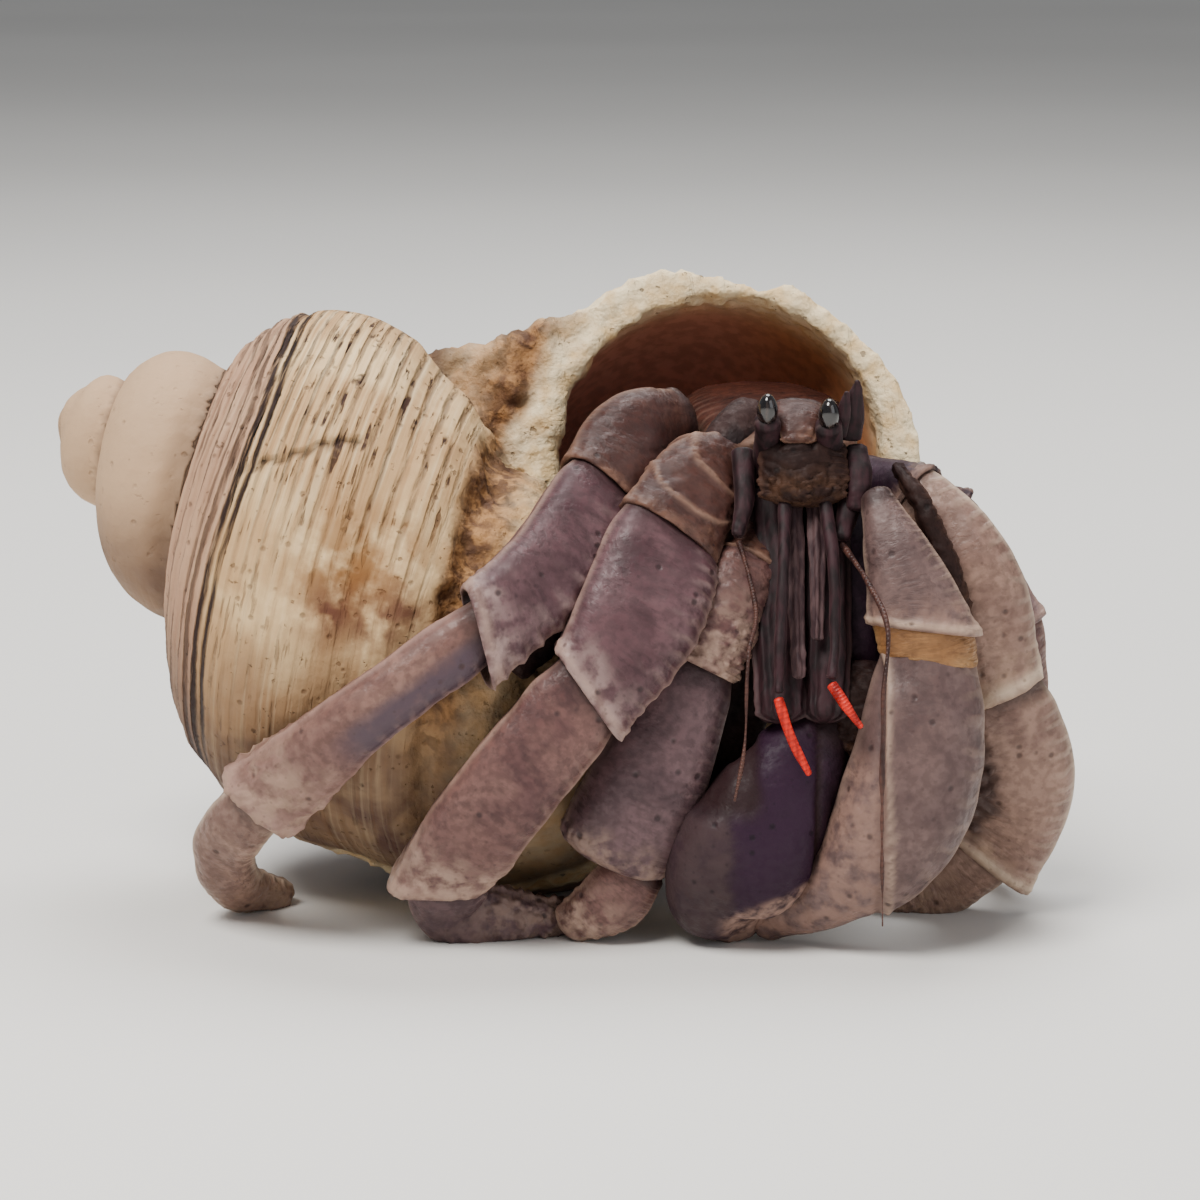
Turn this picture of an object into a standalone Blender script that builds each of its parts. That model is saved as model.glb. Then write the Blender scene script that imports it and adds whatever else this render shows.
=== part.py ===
"""Hermit crab in a turban shell: the closed solids of a still, life-size model.

The crab faces -Y, its left side is at +X, and it stands on the plane z = 0.
All sizes below are in millimetres; make_node brings each finished solid to metres.
"""

import math

import bmesh
import bpy
from mathutils import Matrix, Vector, noise
from mathutils.bvhtree import BVHTree

MM = 0.001
GAP = 0.3                      # clearance between neighbouring solids
WELD = 1e-4                    # merge distance for coincident points
SEAM_WELD = 1e-3               # the same where two whorls of the shell meet
CORNER_LIMIT = 1.5             # most that a sharp corner is pushed out, against the gap

# ---------------------------------------------------------------- shell
SHELL_ORIGIN = Vector((-49.9, 24.2, 44.0))   # point where the spiral's sizes start
SHELL_DROOP = math.radians(24.0)             # axis falls towards the base
SHELL_YAW = math.radians(8.0)                # apex is turned away from the front
SHELL_LEAN = math.radians(11.0)              # mouth looks slightly upwards
RADIUS_GROWTH = math.sqrt(2.0)               # radius ratio for each half turn
LENGTH_GROWTH = 1.36                         # axial ratio for each half turn
MOUTH_TURN = 6.0                             # half turns from the tip to the mouth
FIRST_TURN = -1.0                            # half turn where the whorls begin
RIM_RADIUS = 36.0                            # periphery of the last whorl at the mouth
RIM_STATION = 61.0                           # its distance along the axis
WHORL_BULGE = 0.235                          # bulge of a whorl against its chord
MOUTH_BULGE = 0.066                          # the same at the mouth, where the whorl is flatter
MOUTH_SKEW = 0.086                           # dips the mouth's profile by the seam
MOUTH_DENT = 0.07                            # flattens the outer lip beside its highest point
FLATTER_FROM = 5.2                           # half turns where the whorl starts to flatten
STEPS_PER_HALF_TURN = 14
WHORL_SEGMENTS = 7
TIP_STATION = 5.6                            # the tip's distance along the axis
# base of the last whorl, from the rim to the axis, (radius, station): at its start, its trend, its mouth
BASE_CLOSED = ((18.0, 33.0), (12.3, 42.0), (7.3, 51.0), (4.2, 60.0), (2.2, 69.0), (0.0, 78.0))
BASE_OPEN = ((36.0, 61.0), (36.0, 69.5), (31.8, 76.5), (21.5, 80.5), (9.0, 80.5), (0.0, 78.0))
BASE_MOUTH = ((36.0, 61.0), (33.8, 69.2), (29.4, 75.6), (21.0, 79.8), (9.0, 80.5), (0.0, 78.0))
BASE_SPLITS = (4, 2, 1, 1, 1)                # pieces of each span between those points
FURROW = (40.3, 1.9, 1.2)                    # station, half width and depth of the front's furrow
CALLUS = (45.8, 1.7, 1.0)                    # the same for the raised callus beside it
FRONT_TURNS = (3.95, 4.15, 4.7, 5.0)         # half turns where both fade in and fade out
LUMP_SIZE = 3.6                              # spacing and height of the broken relief round the mouth
LUMP_HEIGHT = 0.8
MOUTH_CENTRE = (19.1, 61.3)                  # (radius, station) of the mouth's hollow
MOUTH_RADIUS = 14.7
HOLLOW_FROM = 5.0                            # half turns where the hollow ends
HOLLOW_SIDES = 20
HOLLOW_STEPS = 12                            # rings along the hollow
MOUTH_REACH = 7.0                            # how far the cutter stands out of the mouth
ABDOMEN_TURNS = (5.66, 5.5, 5.33, 5.17)      # half turns along the abdomen
ABDOMEN_FILL = 0.85                          # its share of the passage's radius

# ---------------------------------------------------------------- general
UP = (0.0, 0.0, 1.0)
FRONT = (0.0, -1.0, 0.0)
LIMB_POWER = 2.4                             # squareness of a limb's section
LIMB_SIDES = 10
DOME_ANGLES = (math.radians(50.0),)          # rings of a limb's round end
DOME_LENGTH = 0.6                            # its length against the half depth
SHARP_ANGLE = math.radians(40.0)
STALK_SIDES = 8
FEELER_SIDES = 6
CLAW_SIDES = 12
TRUNK_SIDES = 12
MODEL_SHIFT = Vector((0.579, -15.043, 0.0))      # brings the box's bottom centre to the origin

# ---------------------------------------------------------------- head
EYE_RADII = (0.95, 1.1, 1.2)
EYE_SEGMENTS = 12
EYESTALK_SIZES = ((1.2, 1.3), (0.9, 1.1), (0.8, 0.95))
EYES = {                                     # side: (stalk centres, eye centre)
    "right": (((17.3, 3.0, 38.8), (17.1, 0.5, 42.0), (16.9, -1.9, 44.6)), (16.9, -2.2, 45.6)),
    "left": (((22.4, 3.0, 38.8), (22.2, 0.5, 41.6), (22.0, -1.9, 44.2)), (22.0, -2.2, 45.2)),
}
# name: (centres, (half width, half depth) at each centre)
FEELERS = {
    "antennule_tip_right": (((17.7, -9.2, 22.6), (18.8, -9.8, 19.4), (20.2, -10.2, 16.6)),
                            ((0.55, 0.5), (0.6, 0.5), (0.4, 0.4))),
    "antennule_tip_left": (((22.1, -9.2, 23.8), (23.2, -9.9, 22.2), (24.4, -10.2, 20.6)),
                           ((0.6, 0.5), (0.65, 0.5), (0.45, 0.4))),
    "antennule_right": (((18.5, -0.5, 40.0), (18.2, -5.0, 33.5), (17.9, -7.4, 27.5), (17.7, -9.0, 23.3)),
                        ((0.8, 0.8), (0.85, 0.8), (0.8, 0.75), (0.7, 0.7))),
    "antennule_left": (((20.8, -0.5, 40.0), (21.4, -5.0, 33.5), (21.8, -7.4, 27.5), (22.0, -9.0, 24.5)),
                       ((0.8, 0.8), (0.85, 0.8), (0.8, 0.75), (0.7, 0.7))),
    "antenna_right": (((14.6, -2.6, 34.6), (15.4, -5.0, 32.0), (15.9, -7.0, 29.0), (15.2, -9.0, 26.2),
                       (14.9, -10.4, 19.0), (14.1, -11.0, 14.5)),
                      ((0.35, 0.35),) * 6),
    "antenna_left": (((23.2, -2.8, 34.4), (25.0, -8.0, 32.2), (26.4, -12.0, 29.0), (26.0, -13.6, 23.0),
                      (26.1, -13.2, 12.0), (26.3, -12.2, 4.2)),
                     ((0.35, 0.35),) * 6),
    "antenna_base_right": (((15.0, 1.5, 41.4), (15.1, -0.6, 38.2), (14.5, -2.3, 35.2)),
                           ((1.0, 1.0), (0.9, 0.9), (0.7, 0.7))),
    "antenna_base_left": (((23.8, 1.5, 41.4), (23.9, -0.6, 38.0), (23.2, -2.4, 35.0)),
                          ((1.0, 1.0), (0.9, 0.9), (0.7, 0.7))),
    "antenna_scale_left": (((23.9, 0.4, 43.0), (24.1, -0.6, 45.4), (24.4, -1.2, 47.8)),
                           ((0.9, 0.6), (0.9, 0.5), (0.35, 0.3))),
    "maxilliped_right": (((17.7, 3.0, 37.8), (18.0, -1.2, 29.3), (18.2, -5.6, 20.6)),
                         ((1.9, 1.6), (1.9, 1.5), (1.5, 1.1))),
    "maxilliped_left": (((21.9, 3.0, 37.8), (22.2, -1.2, 29.3), (22.0, -5.6, 20.6)),
                        ((1.9, 1.6), (1.9, 1.5), (1.5, 1.1))),
}
# ---------------------------------------------------------------- claws
CLAWS = {                                    # name: (centres, sizes)
    "claw_left_finger": (((22.2, -2.6, 19.2), (18.4, -4.4, 14.2), (15.4, -4.4, 8.8), (13.6, -3.0, 4.6),
                          (14.8, -1.4, 1.6)),
                         ((2.6, 2.8), (4.8, 4.2), (5.8, 4.8), (4.6, 3.6), (2.0, 1.7))),
    "claw_left_palm": (((30.4, -4.6, 24.4), (29.8, -5.0, 19.8), (28.8, -5.0, 14.4), (26.2, -4.6, 9.0),
                        (22.0, -3.4, 4.9), (17.4, -1.8, 1.8)),
                       ((3.8, 3.2), (4.9, 4.6), (5.4, 5.4), (4.8, 5.2), (3.0, 3.8), (1.5, 1.6))),
    "claw_left_carpus": (((26.2, -1.5, 38.0), (27.9, -3.4, 33.2), (29.9, -4.6, 28.2)),
                         ((1.2, 2.2), (2.8, 3.4), (4.2, 3.6))),
    "claw_left_merus": (((23.6, 5.4, 36.0), (24.2, 2.4, 31.0), (24.8, 1.0, 25.6), (24.4, 0.8, 21.4)),
                        ((3.0, 3.0), (2.8, 3.0), (2.6, 2.6), (2.0, 2.0))),
    "claw_right_finger": (((6.2, -2.4, 6.6), (3.9, -2.4, 3.8), (1.0, -1.6, 1.8)),
                          ((2.4, 2.4), (2.8, 2.4), (1.8, 1.6))),
    "claw_right_palm": (((11.2, -2.4, 23.2), (8.8, -3.0, 18.4), (6.6, -3.2, 13.4), (4.2, -2.8, 8.6)),
                        ((2.6, 2.6), (4.2, 3.4), (4.9, 3.8), (4.9, 3.4))),
    "claw_right_carpus": (((14.6, -0.6, 31.4), (13.1, -2.0, 28.2), (11.7, -2.8, 25.4)),
                          ((2.8, 2.8), (3.3, 3.2), (2.9, 2.9))),
    "claw_right_merus": (((17.2, 4.6, 35.0), (16.0, 1.6, 33.0)),
                         ((2.4, 2.4), (2.4, 2.4))),
}
# ---------------------------------------------------------------- walking legs
LEGS = {
    "right_front_leg": {
        "merus": (((15.0, 7.5, 38.6), (11.6, 2.8, 38.8), (8.6, -1.2, 36.2)),
                  ((3.6, 3.2), (4.0, 3.2), (4.3, 2.8))),
        "carpus": (((8.6, -3.2, 34.2), (6.0, -6.0, 28.8), (3.2, -7.6, 23.8)),
                   ((4.6, 2.6), (5.0, 2.9), (3.9, 2.5))),
        "propodus": (((0.8, -8.0, 22.2), (-5.0, -7.8, 14.4), (-10.2, -4.8, 7.4)),
                     ((3.8, 2.5), (4.0, 2.7), (4.0, 2.4))),
        "dactylus": (((-11.0, -3.0, 4.6), (-9.2, -1.6, 2.6), (-5.0, -0.6, 1.9), (-0.6, 0.2, 1.5)),
                     ((3.0, 2.2), (3.0, 2.0), (2.3, 2.0), (1.4, 1.5))),
    },
    "right_rear_leg": {
        "merus": (((9.0, 9.6, 42.6), (5.6, 5.8, 42.0), (3.2, 2.2, 39.4)),
                  ((3.2, 3.0), (3.8, 3.1), (4.0, 2.8))),
        "carpus": (((3.2, 0.2, 37.4), (-1.1, -4.4, 32.8), (-5.6, -7.8, 28.6)),
                   ((4.0, 2.6), (3.9, 2.8), (3.6, 2.5))),
        "propodus": (((-8.3, -9.0, 27.3), (-16.1, -9.4, 21.5), (-23.8, -5.6, 14.8)),
                     ((2.8, 2.4), (2.9, 2.5), (3.7, 2.4))),
        "dactylus": (((-26.6, -3.2, 11.6), (-28.8, 0.6, 8.2), (-28.6, 5.4, 3.2), (-25.4, 9.6, 1.0)),
                     ((2.4, 2.2), (2.6, 2.2), (2.2, 1.9), (1.3, 1.4))),
    },
    "left_front_leg": {
        "merus": (((25.6, 8.0, 37.6), (28.4, 5.4, 38.0)),
                  ((2.6, 2.6), (2.6, 2.6))),
        "carpus": (((31.4, 3.2, 37.0), (34.6, 1.4, 31.0), (36.6, 1.6, 23.0)),
                   ((2.8, 2.6), (3.6, 3.0), (2.9, 2.6))),
        "propodus": (((37.8, 2.8, 19.4), (38.2, 4.6, 13.2), (36.8, 6.4, 7.4)),
                     ((3.7, 2.6), (5.5, 3.0), (5.4, 2.6))),
        "dactylus": (((35.8, 7.6, 4.0), (32.8, 7.9, 2.6), (28.2, 8.3, 1.4)),
                     ((3.1, 2.4), (2.7, 2.1), (1.6, 1.5))),
    },
    "left_rear_leg": {
        "merus": (((27.4, 9.6, 36.2), (32.0, 9.4, 35.8)),
                  ((2.4, 2.4), (2.5, 2.4))),
        "carpus": (((34.8, 9.8, 33.8), (38.2, 9.8, 27.6)),
                   ((2.5, 2.3), (2.6, 2.4))),
        "propodus": (((39.6, 10.2, 23.6), (40.2, 12.6, 14.0)),
                     ((2.6, 2.3), (2.8, 2.3))),
        "dactylus": (((39.8, 14.2, 9.8), (38.6, 16.4, 4.2), (35.4, 18.0, 0.7)),
                     ((2.0, 1.8), (1.7, 1.6), (1.1, 1.1))),
    },
}
# ---------------------------------------------------------------- trunk
TRUNK = {
    "shield": (((19.6, 3.4, 41.2), (18.6, 9.0, 41.6), (17.4, 16.0, 42.0), (16.6, 21.0, 42.0)),
               ((5.2, 1.6), (6.6, 2.2), (7.2, 2.8), (6.6, 2.8))),
    "thorax": (((19.6, 4.4, 36.2), (18.4, 10.0, 35.6), (17.2, 16.0, 36.0)),
               ((5.4, 3.2), (7.4, 4.6), (8.0, 5.4))),
}
# ---------------------------------------------------------------- plain looks
LOOKS = {                                    # word in the name: (colour, roughness)
    "shell": ((0.55, 0.43, 0.32), 0.6),
    "eye_": ((0.02, 0.02, 0.025), 0.15),
    "eyestalk": ((0.10, 0.08, 0.09), 0.5),
    "antennule_tip": ((0.60, 0.05, 0.02), 0.4),
    "antennule": ((0.16, 0.09, 0.12), 0.5),
    "antenna": ((0.22, 0.15, 0.14), 0.5),
    "maxilliped": ((0.12, 0.06, 0.09), 0.5),
    "claw": ((0.24, 0.18, 0.20), 0.45),
    "leg": ((0.28, 0.20, 0.20), 0.5),
    "shield": ((0.26, 0.20, 0.18), 0.45),
    "thorax": ((0.20, 0.14, 0.14), 0.6),
    "abdomen": ((0.35, 0.22, 0.20), 0.6),
}


def spiral_axes():
    """Unit vectors along the shell's axis, up from it and out of its mouth."""
    axis = Vector((math.cos(SHELL_DROOP), 0.0, -math.sin(SHELL_DROOP)))
    upward = Vector((math.sin(SHELL_DROOP), 0.0, math.cos(SHELL_DROOP)))
    lean = Matrix.Rotation(-SHELL_LEAN, 3, "X")
    axis = lean @ axis
    upward = lean @ upward
    yaw = Matrix.Rotation(-SHELL_YAW, 3, upward)
    return yaw @ axis, upward, yaw @ (lean @ Vector((0.0, -1.0, 0.0)))


def spiral_point(turn, radius, station):
    """Place a point given by its half turn, radius and distance along the axis."""
    axis, upward, frontward = spiral_axes()
    angle = (turn - MOUTH_TURN) * math.pi
    outward = upward * math.cos(angle) + frontward * math.sin(angle)
    return SHELL_ORIGIN + axis * station + outward * radius


def periphery(turn):
    """Radius and station of the widest line of the whorl at a half turn."""
    back = turn - MOUTH_TURN
    return RIM_RADIUS * RADIUS_GROWTH ** back, RIM_STATION * LENGTH_GROWTH ** back


def flatness(turn):
    """Share of the way from the round whorls to the flatter form of the mouth."""
    return max(turn - FLATTER_FROM, 0.0) / (MOUTH_TURN - FLATTER_FROM)


def whorl_profile(turn):
    """Bulged line from the seam of the whorl before down to this whorl's periphery."""
    start = periphery(max(turn - 2.0, FIRST_TURN))
    end = periphery(turn)
    across = (end[0] - start[0], end[1] - start[1])
    points = []
    height = WHORL_BULGE + (MOUTH_BULGE - WHORL_BULGE) * flatness(turn)
    skew = MOUTH_SKEW * flatness(turn)
    for step in range(WHORL_SEGMENTS + 1):
        share = step / WHORL_SEGMENTS
        bulge = height * math.sin(math.pi * share) - skew * math.sin(2.0 * math.pi * share)
        bulge -= MOUTH_DENT * flatness(turn) * math.sin(math.pi * share ** 4)
        radius = start[0] + across[0] * share + across[1] * bulge
        station = start[1] + across[1] * share - across[0] * bulge
        points.append((radius, station))
    return points


def base_profile(turn):
    """Line from the last whorl's periphery round the base to the axis."""
    share = (turn - MOUTH_TURN + 2.0) / 2.0
    corners = [Vector(periphery(turn))]
    for closed, opened, mouth in list(zip(BASE_CLOSED, BASE_OPEN, BASE_MOUTH))[1:]:
        grown = Vector(closed).lerp(Vector(opened), share)
        corners.append(grown + (Vector(mouth) - Vector(opened)) * flatness(turn))
    points = []
    for start, end, splits in zip(corners, corners[1:], BASE_SPLITS):
        points += [tuple(start.lerp(end, split / splits)) for split in range(splits)]
    return points + [tuple(corners[-1])]


def smooth_step(low, high, value):
    """Rise smoothly from 0 at low to 1 at high."""
    share = min(max((value - low) / (high - low), 0.0), 1.0)
    return share * share * (3.0 - 2.0 * share)


def front_share(turn):
    """How fully the furrow and the callus are formed at a half turn."""
    start, risen, falling, end = FRONT_TURNS
    return smooth_step(start, risen, turn) * (1.0 - smooth_step(falling, end, turn))


def base_relief(turn, station, point):
    """How far the base stands out in front of the mouth: a furrow, a callus and broken lumps."""
    height = LUMP_HEIGHT * noise.noise(point / LUMP_SIZE)
    for (middle, width, size), side in ((FURROW, -1.0), (CALLUS, 1.0)):
        height += side * size * math.exp(-((station - middle) / width) ** 2)
    return height * front_share(turn)


def add_line(bm, turn, profile):
    """Add one profile at a half turn as a line of vertices."""
    return [bm.verts.new(spiral_point(turn, radius, station)) for radius, station in profile]


def rough_base(turn):
    """The base's profile with its relief, which leaves out both ends."""
    profile = base_profile(turn)
    raised = [(radius + base_relief(turn, station, spiral_point(turn, radius, station)), station)
              for radius, station in profile[1:-1]]
    return profile[:1] + raised + profile[-1:]


def skin_lines(bm, first, second):
    """Fill the strip between two lines, leaving out faces that would collapse."""
    for a, b, c, d in zip(first, first[1:], second[1:], second):
        corners = []
        for vertex in (a, b, c, d):
            if all((vertex.co - other.co).length > WELD for other in corners):
                corners.append(vertex)
        if len(corners) > 2:
            bm.faces.new(corners)


def shell_outside():
    """The closed outer form of the shell, its mouth still a flat wall."""
    bm = bmesh.new()
    steps = round((MOUTH_TURN - FIRST_TURN) * STEPS_PER_HALF_TURN)
    turns = [FIRST_TURN + step / STEPS_PER_HALF_TURN for step in range(steps + 1)]
    tip = bm.verts.new(spiral_point(FIRST_TURN, 0.0, TIP_STATION))
    whorls = [add_line(bm, turn, whorl_profile(turn)) for turn in turns]
    bases = [add_line(bm, turn, rough_base(turn)) for turn in turns if turn >= MOUTH_TURN - 2.0]
    for lines in (whorls, bases):
        for first, second in zip(lines, lines[1:]):
            skin_lines(bm, first, second)
    for first, second in list(zip(whorls, whorls[1:]))[:2 * STEPS_PER_HALF_TURN]:
        bm.faces.new((tip, first[0], second[0]))
    mouth_wall = whorls[-1] + bases[-1][1:] + bases[0][-2:0:-1]
    bm.faces.new(mouth_wall)
    bmesh.ops.remove_doubles(bm, verts=bm.verts[:], dist=SEAM_WELD)
    bmesh.ops.recalc_face_normals(bm, faces=bm.faces[:])
    return bm


def shell_hollow():
    """Cutter for the mouth and the last winding passage of the shell."""
    bm = bmesh.new()
    axis, upward, frontward = spiral_axes()
    rings = []
    for step in range(-1, HOLLOW_STEPS + 1):
        turn = MOUTH_TURN + (HOLLOW_FROM - MOUTH_TURN) * max(step, 0) / HOLLOW_STEPS
        back = turn - MOUTH_TURN
        angle = back * math.pi
        outward = upward * math.cos(angle) + frontward * math.sin(angle)
        centre = spiral_point(turn, MOUTH_CENTRE[0] * RADIUS_GROWTH ** back,
                              MOUTH_CENTRE[1] * LENGTH_GROWTH ** back)
        if step < 0:
            centre = centre + frontward * MOUTH_REACH
        radius = MOUTH_RADIUS * (RADIUS_GROWTH * LENGTH_GROWTH) ** (back / 2.0)
        rings.append([bm.verts.new(centre + radius * (outward * math.cos(a) + axis * math.sin(a)))
                      for a in circle_angles(HOLLOW_SIDES)])
    close_rings(bm, rings)
    return bm


def circle_angles(count):
    """Evenly spaced angles round a full circle."""
    return [2.0 * math.pi * step / count for step in range(count)]


def close_rings(bm, rings):
    """Skin a row of equal rings and cap both ends, faces turned outwards."""
    for first, second in zip(rings, rings[1:]):
        for step in range(len(first)):
            after = (step + 1) % len(first)
            bm.faces.new((first[step], first[after], second[after], second[step]))
    bm.faces.new(rings[0])
    bm.faces.new(rings[-1])
    bmesh.ops.recalc_face_normals(bm, faces=bm.faces[:])


def shell_solid():
    """The shell as one closed body, hollow behind its mouth."""
    return carve(shell_outside(), shell_hollow())


# ---------------------------------------------------------------- general solids
def smooth_path(points, steps):
    """Points along a Catmull-Rom curve through the given ones, steps to a span."""
    padded = [points[0] * 2.0 - points[1]] + points + [points[-1] * 2.0 - points[-2]]
    line = []
    for a, b, c, d in zip(padded, padded[1:], padded[2:], padded[3:]):
        for step in range(steps):
            t = step / steps
            line.append(0.5 * ((2.0 * b) + (c - a) * t + (2.0 * a - 5.0 * b + 4.0 * c - d) * t ** 2
                               + (3.0 * b - a - 3.0 * c + d) * t ** 3))
    return line + [points[-1]]


def rounded_ring(bm, centre, across, thick, width, depth, sides):
    """A superellipse of vertices round a centre."""
    ring = []
    for angle in circle_angles(sides):
        x = math.copysign(abs(math.cos(angle)) ** (2.0 / LIMB_POWER), math.cos(angle))
        y = math.copysign(abs(math.sin(angle)) ** (2.0 / LIMB_POWER), math.sin(angle))
        ring.append(bm.verts.new(centre + across * (x * width) + thick * (y * depth)))
    return ring


def limb(points, sizes, facing, sides=LIMB_SIDES, steps=2):
    """A rounded limb piece.

    points: centres along it; sizes: (half width, half depth) at each centre;
    facing: the way its broad side looks; steps: rings to each span between two centres.
    """
    bm = bmesh.new()
    centres = [Vector(point) for point in points]
    line = smooth_path(centres, steps)
    flat = smooth_path([Vector((size[0], size[1], 0.0)) for size in sizes], steps)
    rings = []
    last = len(line) - 1
    for place, (centre, size) in enumerate(zip(line, flat)):
        along = (line[min(place + 1, last)] - line[max(place - 1, 0)]).normalized()
        across = Vector(facing).cross(along).normalized()
        thick = along.cross(across)
        bulb = []
        if place in (0, last):
            reach = along * (size.y * DOME_LENGTH) * (1.0 if place else -1.0)
            bulb = [rounded_ring(bm, centre + reach * math.sin(a), across, thick,
                                 size.x * math.cos(a), size.y * math.cos(a), sides)
                    for a in (DOME_ANGLES if place else reversed(DOME_ANGLES))]
        body = [rounded_ring(bm, centre, across, thick, size.x, size.y, sides)]
        rings += body + bulb if place else bulb + body
    close_rings(bm, rings)
    return bm


def ball(centre, radii):
    """An ellipsoid for an eye."""
    bm = bmesh.new()
    bmesh.ops.create_uvsphere(bm, u_segments=EYE_SEGMENTS, v_segments=EYE_SEGMENTS // 2, radius=1.0)
    bmesh.ops.scale(bm, vec=Vector(radii), verts=bm.verts[:])
    bmesh.ops.translate(bm, vec=Vector(centre), verts=bm.verts[:])
    return bm


# ---------------------------------------------------------------- cutting
def as_object(bm, name):
    """A mesh object made from a bmesh."""
    mesh = bpy.data.meshes.new(name)
    bm.to_mesh(mesh)
    item = bpy.data.objects.new(name, mesh)
    bpy.context.scene.collection.objects.link(item)
    return item


def carve(body, cutter):
    """Take the cutter's space out of the body and keep the largest piece left."""
    target = as_object(body, "body")
    tool = as_object(cutter, "cutter")
    cut = target.modifiers.new("cut", "BOOLEAN")
    cut.operation = "DIFFERENCE"
    cut.use_self = True
    cut.object = tool
    scene = bpy.context.evaluated_depsgraph_get()
    mesh = bpy.data.meshes.new_from_object(target.evaluated_get(scene))
    result = bmesh.new()
    result.from_mesh(mesh)
    for item in (target, tool):
        bpy.data.objects.remove(item)
    keep_largest(result)
    bmesh.ops.dissolve_degenerate(result, dist=WELD, edges=result.edges[:])
    return result


def keep_largest(bm):
    """Delete all but the connected body with the most volume."""
    left = set(bm.verts)
    bodies = []
    while left:
        stack = [left.pop()]
        found = set(stack)
        while stack:
            for edge in stack.pop().link_edges:
                for vertex in edge.verts:
                    if vertex in left:
                        left.discard(vertex)
                        found.add(vertex)
                        stack.append(vertex)
        bodies.append(found)
    bodies.sort(key=spread, reverse=True)
    spare = [vertex for body in bodies[1:] for vertex in body]
    bmesh.ops.delete(bm, geom=spare, context="VERTS")


def spread(vertices):
    """Diagonal of the box round some vertices."""
    low = Vector(min(v.co[k] for v in vertices) for k in range(3))
    high = Vector(max(v.co[k] for v in vertices) for k in range(3))
    return (high - low).length


def fattened(bm, margin):
    """A copy of a solid grown by the margin on every side."""
    copy = bm.copy()
    copy.normal_update()
    reaches = [margin * min(vertex.calc_shell_factor(), CORNER_LIMIT) for vertex in copy.verts]
    for vertex, reach in zip(copy.verts, reaches):
        vertex.co += vertex.normal * reach
    return copy


def clear_of(bm, others):
    """Carve a solid back wherever it comes within the gap of solids placed before it."""
    for other in others:
        blocker = fattened(other, GAP)
        if BVHTree.FromBMesh(bm).overlap(BVHTree.FromBMesh(blocker)):
            bm = carve(bm, blocker)
        blocker.free()
    return bm


def flatten_foot(bm):
    """Cut a solid off at the floor, so that it stands on a small flat."""
    if min(vertex.co.z for vertex in bm.verts) >= 0.0:
        return
    geometry = bm.verts[:] + bm.edges[:] + bm.faces[:]
    cut = bmesh.ops.bisect_plane(bm, geom=geometry, dist=WELD, plane_co=(0.0, 0.0, 0.0),
                                 plane_no=(0.0, 0.0, 1.0), clear_inner=True)
    rim = [item for item in cut["geom_cut"] if isinstance(item, bmesh.types.BMEdge)]
    bmesh.ops.holes_fill(bm, edges=rim, sides=0)
    bmesh.ops.recalc_face_normals(bm, faces=bm.faces[:])


# ---------------------------------------------------------------- the crab
def walking_leg(leg):
    """The four pieces of a walking leg, foot first."""
    pieces = {}
    for segment in ("dactylus", "propodus", "carpus", "merus"):
        points, sizes = leg[segment]
        pieces[segment] = limb(points, sizes, FRONT)
    return pieces


def crab_pieces():
    """Every solid of the crab in the order in which each gives way to those before it."""
    pieces = {"thorax": limb(*TRUNK["thorax"], UP, sides=TRUNK_SIDES, steps=1)}
    for side, (stalk, eye) in EYES.items():
        pieces["eye_" + side] = ball(eye, EYE_RADII)
        pieces["eyestalk_" + side] = limb(stalk, EYESTALK_SIZES, FRONT, sides=STALK_SIDES)
    for name, (points, sizes) in FEELERS.items():
        pieces[name] = limb(points, sizes, FRONT, sides=FEELER_SIDES)
    for name, (points, sizes) in CLAWS.items():
        pieces[name] = limb(points, sizes, FRONT, sides=CLAW_SIDES, steps=min(len(points) - 1, 2))
    for name, leg in LEGS.items():
        for segment, solid in walking_leg(leg).items():
            pieces[name + "_" + segment] = solid
    pieces["shield"] = limb(*TRUNK["shield"], UP, sides=TRUNK_SIDES, steps=1)
    pieces["abdomen"] = abdomen()
    return pieces


def abdomen():
    """The soft hind body, wound into the shell's passage."""
    points = []
    sizes = []
    for turn in ABDOMEN_TURNS:
        back = turn - MOUTH_TURN
        points.append(spiral_point(turn, MOUTH_CENTRE[0] * RADIUS_GROWTH ** back,
                                   MOUTH_CENTRE[1] * LENGTH_GROWTH ** back))
        radius = ABDOMEN_FILL * MOUTH_RADIUS * (RADIUS_GROWTH * LENGTH_GROWTH) ** (back / 2.0)
        sizes.append((radius, radius))
    return limb(points, sizes, spiral_axes()[0], sides=TRUNK_SIDES, steps=1)


def make_material(name):
    """The plain material of a sub-part."""
    colour, roughness = next(look for word, look in LOOKS.items() if word in name)
    material = bpy.data.materials.new(name + "_material")
    material.use_nodes = True
    shader = material.node_tree.nodes["Principled BSDF"]
    shader.inputs["Base Color"].default_value = (*colour, 1.0)
    shader.inputs["Roughness"].default_value = roughness
    shader.inputs["Metallic"].default_value = 0.0
    return material


def make_node(name, bm, collection):
    """Bring a finished solid to metres and place it as a named object."""
    bmesh.ops.translate(bm, vec=MODEL_SHIFT, verts=bm.verts[:])
    bmesh.ops.scale(bm, vec=Vector((MM, MM, MM)), verts=bm.verts[:])
    mesh = bpy.data.meshes.new(name)
    bm.to_mesh(mesh)
    mesh.shade_smooth()
    mesh.set_sharp_from_angle(angle=SHARP_ANGLE)
    mesh.materials.append(make_material(name))
    collection.objects.link(bpy.data.objects.new(name, mesh))


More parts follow.
